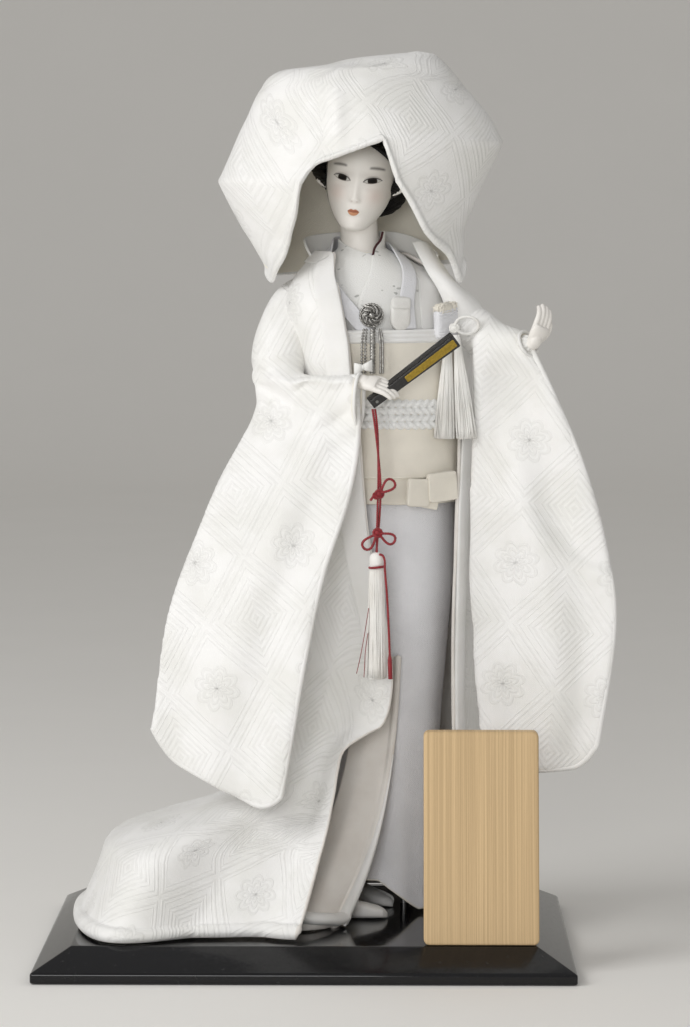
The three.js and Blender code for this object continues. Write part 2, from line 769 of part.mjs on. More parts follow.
function wig() {
  const mass = new THREE.SphereGeometry(1, 12, 8).rotateX(Math.PI / 2);
  const lobes = mass.clone().scale(HAIR.side, HAIR.deep, HAIR.high).translate(0, 7, 9);
  const nape = mass.clone().scale(17, 13, 20).translate(0, 22, -12);
  const bun = mass.clone().scale(HAIR.bun, HAIR.bun * 1.3, HAIR.bunHigh).translate(0, 8, HAIR.bunAt);
  const face = new THREE.SphereGeometry(1, 16, 10)
    .rotateX(Math.PI / 2)
    .scale(HAIR.faceWide, 60, HAIR.hairline + 14)
    .translate(0, -62, -14);
  const hair = cut(inHeadFrame(join(lobes, nape, bun)), inHeadFrame(face), head(CLEAR));
  return common(hair, hoodInside(HOOD.wall + CLEAR));
}

// Hood surface: a wide flattened dome whose rim rises over the face.
function onHood(turn, drop, inset) {
  const [rim] = along(HOOD_RIM, turn);
  const top = HOOD_FORM.at(-1)[0] - (inset ? inset + HOOD.crownExtra : 0);
  const level = Math.sin((drop * Math.PI) / 2);
  const z = drop < 1e-6 ? top : top + (rim - top) * (0.3 * level ** 2 + 0.7 * drop);
  const [middle, w, d] = along(HOOD_FORM, Math.min(z + inset, HOOD_FORM.at(-1)[0]));
  const t = rad(turn);
  const form = (value) => Math.sign(value) * Math.abs(value) ** (2 / HOOD.square);
  const x = Math.max(w - inset, 0.5) * form(Math.sin(t));
  const y = -Math.max(d - inset, 0.5) * form(Math.cos(t));
  return new THREE.Vector3(middle + x, HOOD.y + y, z);
}

function hoodTurns() {
  const turns = [];
  for (let t = -180; t < 180; t += Math.abs(t + 4) < 68 ? 8 : 18) turns.push(t);
  return turns;
}

function hood() {
  const turns = hoodTurns();
  const drops = steps(HOOD.rows, HOOD.crown, 1);
  const rings = (inset) => drops.map((drop) => turns.map((t) => onHood(t, drop, inset)));
  const outer = rings(0);
  const inner = rings(HOOD.wall);
  const loop = [...outer, ...inner.reverse()];
  return loft(loop);
}

const hoodInside = (inset) => {
  const row = (drop) => hoodTurns().map((t) => hoodFloor(onHood(t, drop, inset), drop));
  return loft(steps(HOOD.rows, HOOD.crown, 1).map(row));
};
// The inside space goes down past the rim, so that only the dome limits the hair.
function hoodFloor(p, drop) {
  if (drop === 1) p.z = HOOD_FORM[0][0] - 40;
  return p;
}

// Kimono, collars and sashes.
function kimono() {
  const { bottom, top, hemLift, hemFrom, hemTo } = KIMONO;
  const shell = trunkPipe(levels(bottom, top), CLEAR, SKIN);
  // The hem is raised over the feet on -X.
  const under = new THREE.Shape()
    .moveTo(hemTo, 0)
    .lineTo(hemFrom, hemLift)
    .lineTo(-hemTo, hemLift)
    .lineTo(-hemTo, 0);
  const raised = new THREE.ExtrudeGeometry(under, { depth: BOARD.depth, bevelEnabled: false })
    .rotateX(Math.PI / 2)
    .translate(0, BOARD.depth / 2, 0);
  const arms = [armLimb(RIGHT_ARM, CLEAR), armLimb(LEFT_ARM, CLEAR)];
  return whole(cut(shell, raised, ...arms, foot(RIGHT_FOOT, CLEAR), foot(LEFT_FOOT, CLEAR)));
}

const lowered = (path, drop) => path.map(([angle, z]) => [angle, z - drop]);
const underCollar = () => band(NECKLINE, UNDER_COLLAR, SKIN + UNDER_COLLAR.lift, UNDER_COLLAR.over);
const kimonoCollar = () =>
  band(lowered(NECKLINE, KIMONO_COLLAR.below), KIMONO_COLLAR, SKIN + KIMONO_COLLAR.lift, KIMONO_COLLAR.over);

function obi(grow = 0) {
  const shell = trunkPipe(levels(OBI.bottom - grow, OBI.top + grow), SKIN + CLEAR - grow, OBI_OUT + grow);
  return cut(shell, armLimb(LEFT_ARM, CLEAR));
}

function obiScarf() {
  const bottom = OBI.top + CLEAR;
  const rows = levels(bottom, bottom + OBI_SCARF.height);
  const scarf = trunkPipe(rows, SKIN + CLEAR, SKIN + CLEAR + OBI_SCARF.wall);
  return cut(scarf, armLimb(RIGHT_ARM, CLEAR), armLimb(LEFT_ARM, CLEAR));
}

// The braided cord as strands lying one above another round the obi.
function obiCord() {
  const { radius, strands, above, rise } = OBI_CORD;
  const heights = steps(strands, 0, strands).map((i) => above + i * rise);
  const rows = heights.slice(0, -1).flatMap((z) => [
    [z, 0.55 * radius],
    [z + rise / 2, 1.6 * radius],
  ]);
  rows.push([heights.at(-1), 0.55 * radius]);
  return pipe(
    rows.map(([z, out]) => trunkRing(z, OBI_OUT + CLEAR + out)),
    [rows[0], rows.at(-1)].map(([z]) => trunkRing(z, OBI_OUT + CLEAR)),
  );
}

function obiBow() {
  const pad = new THREE.SphereGeometry(0.5, 12, 8).scale(OBI_BOW.width, OBI_BOW.thick * 2, OBI_BOW.height);
  const placed = placedOnTrunk(pad, OBI_BOW.angle, OBI_BOW.z, OBI_OUT);
  const cordTop = OBI_CORD.above + OBI_CORD.strands * OBI_CORD.rise;
  const cordSpace = trunkBody(
    levels(OBI_CORD.above - CLEAR, cordTop + CLEAR),
    OBI_OUT + 2 * CLEAR + 1.6 * OBI_CORD.radius,
  );
  return cut(placed, trunkBody(levels(OBI.bottom - 30, OBI.top + 20), OBI_OUT + CLEAR), cordSpace);
}

const sash = () =>
  trunkPipe(
    levels(OBI.bottom - CLEAR - SASH.height, OBI.bottom - CLEAR),
    SKIN + CLEAR,
    SKIN + CLEAR + SASH.wall,
  );

function sashBow() {
  const wing = (side) =>
    plate(SASH_BOW.width * 0.48, SASH_BOW.height, SASH_BOW.thick, 2)
      .rotateY(rad(2 * side))
      .translate(side * SASH_BOW.width * 0.27, 0, 0)
      .rotateZ(rad(7 * side));
  const knot = plate(SASH_BOW.width / 5, SASH_BOW.height * 0.7, SASH_BOW.thick * 1.5, 1);
  const z = OBI.bottom - SASH.height / 2;
  const placed = placedOnTrunk(join(wing(-1), wing(1), knot), SASH_BOW.angle, z, OBI_OUT);
  return cut(placed, trunkBody(levels(z - 30, z + 30), SKIN + 2 * CLEAR + SASH.wall), obi(CLEAR));
}

// Robe and second hem: each lies on the body at its top and blends into its own hem outline on the board.
function onDrape(form, s, down) {
  const z = form.top + (HEM_HEIGHT - form.top) * down;
  const [hemX, hemY, angle, power, shelf] = along(form.hem, s);
  const [rightEdge, leftEdge] = along(form.edge, z);
  const rightPull = Math.max(1 - s / form.edgeReach, 0) ** 2;
  const leftPull = Math.max(1 - (1 - s) / form.edgeReach, 0) ** 2;
  const turn = angle + rightEdge * rightPull + leftEdge * leftPull;
  const high = onTrunk(turn, z, form.lift(turn, z));
  const fall = THREE.MathUtils.clamp((form.flare - z) / (form.flare - HEM_HEIGHT), 0, 1);
  const out = new THREE.Vector3(hemX - high.x, hemY - high.y, 0).normalize();
  const swing = Math.sin(2 * Math.PI * form.pleats * s) * Math.sin(Math.PI * s) ** 0.5;
  const wave = form.pleat * swing * fall ** 1.5;
  const step = 1 - THREE.MathUtils.smoothstep(z, TRAIN.full, TRAIN.top);
  const ledge = (1 - TRAIN.share) * fall ** TRAIN.power + TRAIN.share * step;
  const flare = THREE.MathUtils.lerp(fall ** power, ledge, THREE.MathUtils.clamp(shelf, 0, 1));
  return high.lerp(new THREE.Vector3(hemX, hemY, z), flare).addScaledVector(out, wave);
}

const near = (value, middle, width) => Math.exp(-(((value - middle) / width) ** 2));

// Clear of the sashes below the shoulders, closer at the neck, with a hump over the obi bow.
function robeLift(turn, z) {
  const flat = THREE.MathUtils.lerp(ROBE.lift, ROBE.neckLift, THREE.MathUtils.smoothstep(z, 345, 368));
  const { angle, humpTurn, humpHigh } = OBI_BOW;
  return flat + OBI_BOW.thick * 1.15 * near(turn, angle, humpTurn) * near(z, OBI_BOW.z, humpHigh);
}

const robeForm = () => ({ ...ROBE, hem: ROBE_HEM, edge: ROBE_EDGE, lift: robeLift });
const onRobe = (s, down) => onDrape(robeForm(), s, down);
const robeDown = (z) => (ROBE.top - z) / (ROBE.top - HEM_HEIGHT);
const overRobe = (s, down, lift) => offsetGrid(onRobe, [s], [down], lift)[0][0];

function robe() {
  const us = steps(ROBE_COLUMNS);
  const vs = [...ROBE_ROWS, HEM_HEIGHT].map(robeDown);
  const shell = slab(offsetGrid(onRobe, us, vs, 0), offsetGrid(onRobe, us, vs, CLOTH));
  return cut(shell, armLimb(RIGHT_ARM, CLEAR), armLimb(LEFT_ARM, CLEAR));
}

// All the space that the upper robe covers, out to a gap over its outside.
function robeSpace() {
  const us = steps(ROBE_COLUMNS);
  const vs = ROBE_ROWS.filter((z) => z >= SLEEVE.cover).map(robeDown);
  return slab(offsetGrid(onRobe, us, vs, CLOTH + 2 * CLEAR), offsetGrid(onRobe, us, vs, -SLEEVE.coverDepth));
}

// The collar strip up one front edge of the robe, round the neck and down the other.
function robeCollar() {
  const { thick, gap, low, neck, rightColumns, leftColumns, mitre } = ROBE_COLLAR;
  const columns = steps(ROBE_COLUMNS);
  const right = columns[rightColumns];
  const left = columns.at(-1 - leftColumns);
  const seam = robeDown(neck);
  const drops = ROBE_ROWS.filter((z) => z >= low && z < neck).map(robeDown);
  // Outer and inner edge of the strip: share of the way round and share of the way down, for each.
  const rows = [
    ...drops.toReversed().map((d) => [0, d, right, d]),
    [0, seam, right, 0.5 * (seam + drops[0])],
    ...columns.filter((s) => s < right).map((s, i) => [s, 0, right + i * mitre, seam]),
    ...columns.filter((s) => s > right + rightColumns * mitre && s < left).map((s) => [s, 0, s, seam]),
    [left, 0, left - mitre, seam],
    [1, 0, left, seam],
    [1, seam, left, 0.5 * (seam + drops[0])],
    ...drops.map((d) => [1, d, left, d]),
  ];
  const { lerp } = THREE.MathUtils;
  // Round the neck the strip is straight across, as the robe's own faces are.
  const point = ([s0, d0, s1, d1], t, lift) =>
    d0 !== d1 && Math.abs(s0 - s1) < right
      ? overRobe(s0, d0, lift).lerp(overRobe(s1, d1, lift), t)
      : overRobe(lerp(s0, s1, t), lerp(d0, d1, t), lift);
  const layer = (lift) => rows.map((row) => steps(rightColumns).map((t) => point(row, t, lift)));
  const band = slab(layer(CLOTH + gap), layer(CLOTH + gap + thick));
  return cut(band, armLimb(RIGHT_ARM, CLEAR), armLimb(LEFT_ARM, CLEAR));
}

const secondForm = () => ({
  ...SECOND,
  hem: SECOND_HEM,
  edge: [
    [0, 0, 0],
    [SECOND.top, 0, 0],
  ],
  lift: () => SKIN + 2 * CLEAR,
});
const onSecond = (s, down) => onDrape(secondForm(), s, down);

function secondHem() {
  const us = steps(10);
  const vs = steps(7);
  const panel = slab(offsetGrid(onSecond, us, vs, 0), offsetGrid(onSecond, us, vs, SECOND.wall));
  return cut(panel, foot(RIGHT_FOOT, CLEAR), foot(LEFT_FOOT, CLEAR));
}

// Cotton wadding that holds the train up, between the robe and the kimono.
function trainPad() {
  const columns = steps(ROBE_COLUMNS).filter((s) => s >= TRAIN_PAD.from && s <= TRAIN_PAD.to);
  const vs = [...ROBE_ROWS.filter((z) => z <= TRAIN_PAD.top), HEM_HEIGHT].map(robeDown);
  const outer = offsetGrid(onRobe, columns, vs, -CLEAR);
  const inner = vs.map((v) =>
    columns.map((s) => {
      const z = ROBE.top + (HEM_HEIGHT - ROBE.top) * v;
      return onTrunk(along(ROBE_HEM, s)[2], z, SKIN + CLEAR);
    }),
  );
  return slab(outer, inner);
}

// Sleeves: a hanging panel with the arm in its top, and a tube up to the shoulder.
function sleeve(form, side) {
  const outer = new THREE.CatmullRomCurve3(form.outer.map(at));
  const inner = new THREE.CatmullRomCurve3(form.inner.map(at));
  const sheet = (u, v) => {
    const t = THREE.MathUtils.clamp(v, 0, 1);
    const p = outer.getPoint(t).lerp(inner.getPoint(t), u);
    const swell = Math.sin(Math.PI * THREE.MathUtils.clamp(u, 0, 1)) * Math.sin(Math.PI * t) ** 0.7;
    const folds = SLEEVE.fold * Math.sin(2 * Math.PI * (SLEEVE.folds * u + 0.4 * t)) * t * (1.3 - t);
    const corner = form.round * Math.max(2 * Math.abs(u - 0.5) - 0.55, 0) ** 2 * t ** 6;
    return p.add(new THREE.Vector3(0, -form.bulge * swell - folds, corner));
  };
  const half = (u, v) => {
    const arm = near(v, SLEEVE.armAt, SLEEVE.armSpread);
    return 0.5 * (SLEEVE.bottom + (SLEEVE.top - SLEEVE.bottom) * arm);
  };
  const us = steps(10);
  const vs = [0, 0.02, 0.06, 0.12, 0.21, 0.34, 0.48, 0.63, 0.78, 0.91, 1];
  const rim = (v) => (v ? 1 : 0.6);
  const panel = slab(
    offsetGrid(sheet, us, vs, (u, v) => half(u, v) * rim(v)),
    offsetGrid(sheet, us, vs, (u, v) => -half(u, v) * rim(v)),
  );
  const wrist = at(side.wrist);
  const mouthPath = [-1, 0, 2].map((k) =>
    wrist.clone().addScaledVector(forearm(side), k * SLEEVE.mouthDepth).toArray(),
  );
  const mouth = limb(mouthPath, [SLEEVE.mouth, SLEEVE.mouth, 1.5 * SLEEVE.mouth], 10, 3);
  const cloth = join(panel, limb(form.upper, form.radii, 10));
  const robeOut = ROBE.lift + CLOTH + ROBE_COLLAR.gap + ROBE_COLLAR.thick + 5 * CLEAR;
  const chest = trunkBody(levels(SLEEVE.chest, ROBE.top), robeOut);
  return whole(cut(cloth, armLimb(side, CLEAR), mouth, robeSpace(), chest));
}

// Small things tucked into the collar and obi.
const onChest = (geometry, { angle, z, lift, tilt = 0 }) => placedOnTrunk(geometry, angle, z, lift, tilt);
const purse = () => onChest(plate(PURSE.width, PURSE.height, PURSE.thick, PURSE.corner), PURSE);

function ornament() {
  const { radius, thick } = ORNAMENT;
  const disc = new THREE.CylinderGeometry(radius, radius * 1.05, thick, 18).translate(0, -thick / 2, 0);
  const boss = new THREE.CylinderGeometry(radius * 0.55, radius * 0.7, thick, 12).translate(0, -thick, 0);
  return onChest(join(disc, boss), ORNAMENT);
}

// Where the chains hang: just under the ornament, in front of the chest.
const chainTop = () => onTrunk(ORNAMENT.angle, ORNAMENT.z, ORNAMENT.lift + ORNAMENT.thick / 2).add(
  new THREE.Vector3(0, 0, -ORNAMENT.radius - 2 * CLEAR - CHAINS.radius),
);

function chains() {
  const top = chainTop();
  const end = new THREE.Vector3(CHAINS.spread / 2, 0, 0);
  const bar = new THREE.LineCurve3(end.clone().negate(), end);
  const drops = steps(CHAINS.count - 1, -1, 1).map((k) => {
    const x = (k * CHAINS.spread) / 2.3;
    const line = new THREE.LineCurve3(new THREE.Vector3(x, 0, 0), new THREE.Vector3(x, 0, -CHAINS.length));
    return tube(line, CHAINS.radius, 6, 1);
  });
  return join(tube(bar, CHAINS.radius, 8, 1), ...drops).translate(top.x, top.y, top.z);
}

function ribbonBow({ width, height, thick }) {
  const wing = (side) =>
    limb(
      [
        [0, 0, 0],
        [side * width * 0.3, 0, height * 0.32],
        [side * width * 0.5, 0, height * 0.1],
      ],
      [thick * 0.3, thick * 0.55, thick * 0.35],
      6,
      4,
    );
  return join(ball(thick * 0.55, 0, 0, 0, 8, 6), wing(-1), wing(1));
}

function chainBow() {
  const top = chainTop();
  const front = CHAINS.radius + CHAIN_BOW.thick * 0.55 + CLEAR;
  const low = top.z - CHAINS.length * 0.86;
  return ribbonBow(CHAIN_BOW).translate(top.x - CHAINS.spread / 3, top.y - front, low);
}

const dagger = () =>
  cut(
    onChest(plate(DAGGER.width, DAGGER.height, DAGGER.thick, DAGGER.corner), DAGGER),
    armLimb(LEFT_ARM, CLEAR),
  );
const knotPlace = () =>
  onTrunk(
    DAGGER.angle + DAGGER_KNOT.turn,
    DAGGER.z - DAGGER_KNOT.below,
    DAGGER.lift + DAGGER.thick + DAGGER_KNOT.radius - DAGGER_KNOT.sink,
  );

function daggerCord() {
  const k = knotPlace();
  const { width, height, radius } = DAGGER_LOOP;
  const loop = new THREE.CatmullRomCurve3(
    [
      [0, 0, 0],
      [width * 0.45, -0.5, height * 0.55],
      [width * 0.9, -1, height * 0.62],
      [width, -1.2, height * 0.2],
      [width * 0.62, -0.8, -height * 0.1],
      [width * 0.12, 0.2, -height * 0.1],
    ].map(at),
  );
  return join(ball(DAGGER_KNOT.radius, 0, 0, 0, 10, 7), tube(loop, radius, 8, 10)).translate(k.x, k.y, k.z);
}

// A bundle of threads from a narrow top to a wide fluted end.
function threads({ top, bottom, length, flutes }, lean = [0, 0]) {
  const rows = [
    [0, top],
    [0.12, top * 1.15],
    [0.4, top + 0.45 * (bottom - top)],
    [0.75, top + 0.82 * (bottom - top)],
    [1, bottom],
  ];
  return loft(
    rows.map(([t, r]) =>
      ring(3 * flutes, (c, s, a) => {
        const fluted = r * (1 - 0.09 * t * (1 - Math.cos(flutes * a)));
        return new THREE.Vector3(fluted * c + lean[0] * t, fluted * s * 0.8 + lean[1] * t, -length * t);
      }),
    ),
  );
}

function daggerTassel(side, lean) {
  const k = knotPlace();
  const x = k.x + side * DAGGER_TASSEL.apart;
  const z = k.z - DAGGER_KNOT.radius - CLEAR;
  return threads(DAGGER_TASSEL, [lean, DAGGER_TASSEL.forward]).translate(x, k.y, z);
}

// Closed folding fan: two guards with the ribs and folded leaf between them, on one pivot pin.
function fanPart(from, to, grow = 0) {
  const { length, tip, butt } = FAN;
  const shape = new THREE.Shape()
    .moveTo(-grow, -butt / 2 - grow)
    .lineTo(length + grow, -tip / 2 - grow)
    .lineTo(length + grow, tip / 2 + grow)
    .lineTo(-grow, butt / 2 + grow);
  const leaf = new THREE.ExtrudeGeometry(shape, { depth: to - from, bevelEnabled: false });
  return inFanFrame(leaf.rotateX(Math.PI / 2).translate(0, to, 0));
}

function inFanFrame(geometry) {
  return geometry
    .rotateX(rad(FAN.roll))
    .rotateY(rad(-FAN.slope))
    .rotateZ(rad(FAN.yaw))
    .translate(...FAN_BUTT);
}

const fanHalf = FAN.ribs / 2;
const fanPin = (grow = 0) => {
  const reach = fanHalf + CLEAR + FAN.guard + (grow ? 2 : 0.3);
  const pin = new THREE.CylinderGeometry(FAN.pinRadius + grow, FAN.pinRadius + grow, 2 * reach, 10);
  return inFanFrame(pin.translate(FAN.pinAt, 0, 0));
};
const fanBlock = (grow) => {
  const half = fanHalf + CLEAR + FAN.guard + grow;
  return fanPart(-half, half, grow);
};
const fanRibs = () => cut(fanPart(-fanHalf, fanHalf), fanPin(CLEAR / 2));
const fanFront = () => cut(fanPart(-fanHalf - CLEAR - FAN.guard, -fanHalf - CLEAR), fanPin(CLEAR / 2));
const fanRear = () => cut(fanPart(fanHalf + CLEAR, fanHalf + CLEAR + FAN.guard), fanPin(CLEAR / 2));

// Red cord from the fan's butt, with two bows and the tassel.
const cordPoint = ([x, y, z]) => at(FAN_BUTT).add(new THREE.Vector3(x, y, z));
const fanCordCurve = () => new THREE.CatmullRomCurve3(FAN_CORD_ROUTE.map(cordPoint));
const fanCord = () => tube(fanCordCurve(), FAN_CORD.radius, 8, 14);

function fanBow(share, loops) {
  const curve = fanCordCurve();
  const onCord = (t) => curve.getPointAt(THREE.MathUtils.clamp(t, 0, 1));
  const middle = onCord(share);
  const { knot, loop, span, boreShare } = FAN_BOWS;
  const ear = ([side, rise]) =>
    tube(
      new THREE.CatmullRomCurve3(
        [
          [0, -0.6, 0],
          [side * span * 0.45, -0.8, 0.25 * span + rise * 0.45],
          [side * span * 0.95, -0.6, rise],
          [side * span * 0.85, -0.2, rise - 0.28 * span],
          [side * span * 0.35, -0.3, rise * 0.3 - 0.1 * span],
          [0, -0.3, -0.3],
        ].map(at),
      ),
      loop,
      8,
      6,
    );
  const bow = join(ball(knot, 0, 0, 0, 8, 6), ...loops.map(ear)).translate(middle.x, middle.y, middle.z);
  const bore = new THREE.LineCurve3(onCord(share - boreShare), onCord(share + boreShare));
  return whole(cut(bow, tube(bore, FAN_CORD.radius + CLEAR, 8, 1)));
}

const tasselTop = () => cordPoint(FAN_CORD_ROUTE.at(-1));

function fanTassel() {
  const top = tasselTop();
  const { head } = TASSEL;
  const knob = new THREE.SphereGeometry(head, 12, 8).rotateX(Math.PI / 2).translate(0, 0, -head - CLEAR);
  const skirt = threads(TASSEL).translate(0, 0, -1.4 * head);
  return join(knob, skirt).translate(top.x, top.y, top.z);
}

function redStrand() {
  const top = tasselTop();
  const x = top.x + TASSEL.head * 0.2 + RED_STRAND.off;
  const { length, lean } = RED_STRAND;
  const strand = limb(
    [
      [0, 0, 0],
      [0.3 * lean, -0.6, -0.35 * length],
      [0.7 * lean, -0.6, -0.75 * length],
      [lean, -0.4, -length],
    ],
    [RED_STRAND.top, RED_STRAND.top, 1.15 * RED_STRAND.top, RED_STRAND.bottom],
    8,
  );
  return strand.translate(x, top.y - RED_STRAND.front, top.z - 2 * TASSEL.head);
}

// Materials and the assembly.
const finish = (color, roughness, metalness = 0) =>
  new THREE.MeshStandardMaterial({ color, roughness, metalness });
const lacquer = finish(0x0b0b0c, 0.15);
const steel = finish(0x9a9a98, 0.35, 1);
const silver = finish(0xb4b2ac, 0.35, 1);
const wood = finish(0xc4aa82, 0.6);
const straw = finish(0xb9a273, 0.9);
const cotton = finish(0xe8e4da, 0.95);
const gofun = finish(0xf2efea, 0.45);
const hairBlack = finish(0x14110f, 0.4);
const damask = finish(0xf1f0ec, 0.6);
const crepe = finish(0xe9ebee, 0.8);
const ivory = finish(0xe9e3d6, 0.6);
const whiteSilk = finish(0xf3f2ef, 0.5);
const redSilk = finish(0x961423, 0.5);
const fanLacquer = finish(0x1d1b1a, 0.3);
const fanPaper = finish(0x6b6862, 0.6);

const doll = new THREE.Group();
doll.position.z = BOARD.height;
const part = new THREE.Group();
part.add(doll);

function add(group, name, geometry, material) {
  const mesh = new THREE.Mesh(geometry, material);
  mesh.name = name;
  group.add(mesh);
}

add(part, "display_board", board(), lacquer);
add(part, "stand_rod", standRod(), steel);
add(part, "rod_washer", washer(), steel);
add(part, "rod_nut", nut(), steel);
add(doll, "name_board", nameBoard(), wood);
add(doll, "name_board_strut", nameBoardStrut(), wood);
add(doll, "leg_core", legCore(), straw);
add(doll, "torso_core", torsoCore(), straw);
add(doll, "arm_right", arm(RIGHT_ARM), straw);
add(doll, "arm_left", arm(LEFT_ARM), straw);
add(doll, "wrist_wire_right", wristWire(RIGHT_ARM), steel);
add(doll, "wrist_wire_left", wristWire(LEFT_ARM), steel);
add(doll, "hand_right", rightHand(), gofun);
add(doll, "hand_left", leftHand(), gofun);
add(doll, "foot_right", foot(RIGHT_FOOT), whiteSilk);
add(doll, "foot_left", foot(LEFT_FOOT), whiteSilk);
add(doll, "head", head(), gofun);
add(doll, "neck_peg", neckPeg(), wood);
add(doll, "wig", wig(), hairBlack);
add(doll, "hood", hood(), damask);
add(doll, "kimono", kimono(), crepe);
add(doll, "under_collar", underCollar(), whiteSilk);
add(doll, "kimono_collar", kimonoCollar(), damask);
add(doll, "obi", obi(), ivory);
add(doll, "obi_scarf", obiScarf(), whiteSilk);
add(doll, "obi_cord", obiCord(), whiteSilk);
add(doll, "obi_bow", obiBow(), ivory);
add(doll, "sash", sash(), ivory);
add(doll, "sash_bow", sashBow(), ivory);
add(doll, "robe", robe(), damask);
add(doll, "robe_collar", robeCollar(), damask);
add(doll, "second_hem", secondHem(), damask);
add(doll, "train_wadding", trainPad(), cotton);
add(doll, "sleeve_right", sleeve(RIGHT_SLEEVE, RIGHT_ARM), damask);
add(doll, "sleeve_left", sleeve(LEFT_SLEEVE, LEFT_ARM), damask);
add(doll, "purse", purse(), damask);
add(doll, "silver_ornament", ornament(), silver);
add(doll, "silver_chains", chains(), silver);
add(doll, "chain_bow", chainBow(), whiteSilk);
add(doll, "dagger_bag", dagger(), damask);
add(doll, "dagger_cord", daggerCord(), whiteSilk);
add(doll, "dagger_tassel_right", daggerTassel(-1, DAGGER_LEAN.right), whiteSilk);
add(doll, "dagger_tassel_left", daggerTassel(1, DAGGER_LEAN.left), whiteSilk);
add(doll, "fan_guard_front", fanFront(), fanLacquer);
add(doll, "fan_guard_rear", fanRear(), fanLacquer);
add(doll, "fan_ribs", fanRibs(), fanPaper);
add(doll, "fan_pin", fanPin(), steel);
add(doll, "fan_cord", fanCord(), redSilk);
add(doll, "fan_bow_upper", fanBow(FAN_BOWS.upperShare, [[1, 7], [-1, -4]]), redSilk);
add(doll, "fan_bow_lower", fanBow(FAN_BOWS.lowerShare, [[1, -2], [-1, -3]]), redSilk);
add(doll, "fan_tassel", fanTassel(), whiteSilk);
add(doll, "fan_tassel_strand", redStrand(), redSilk);

export default part;
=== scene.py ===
"""A bride doll in white ceremonial dress on a lacquered board, drawn over its solids."""

import json
import math

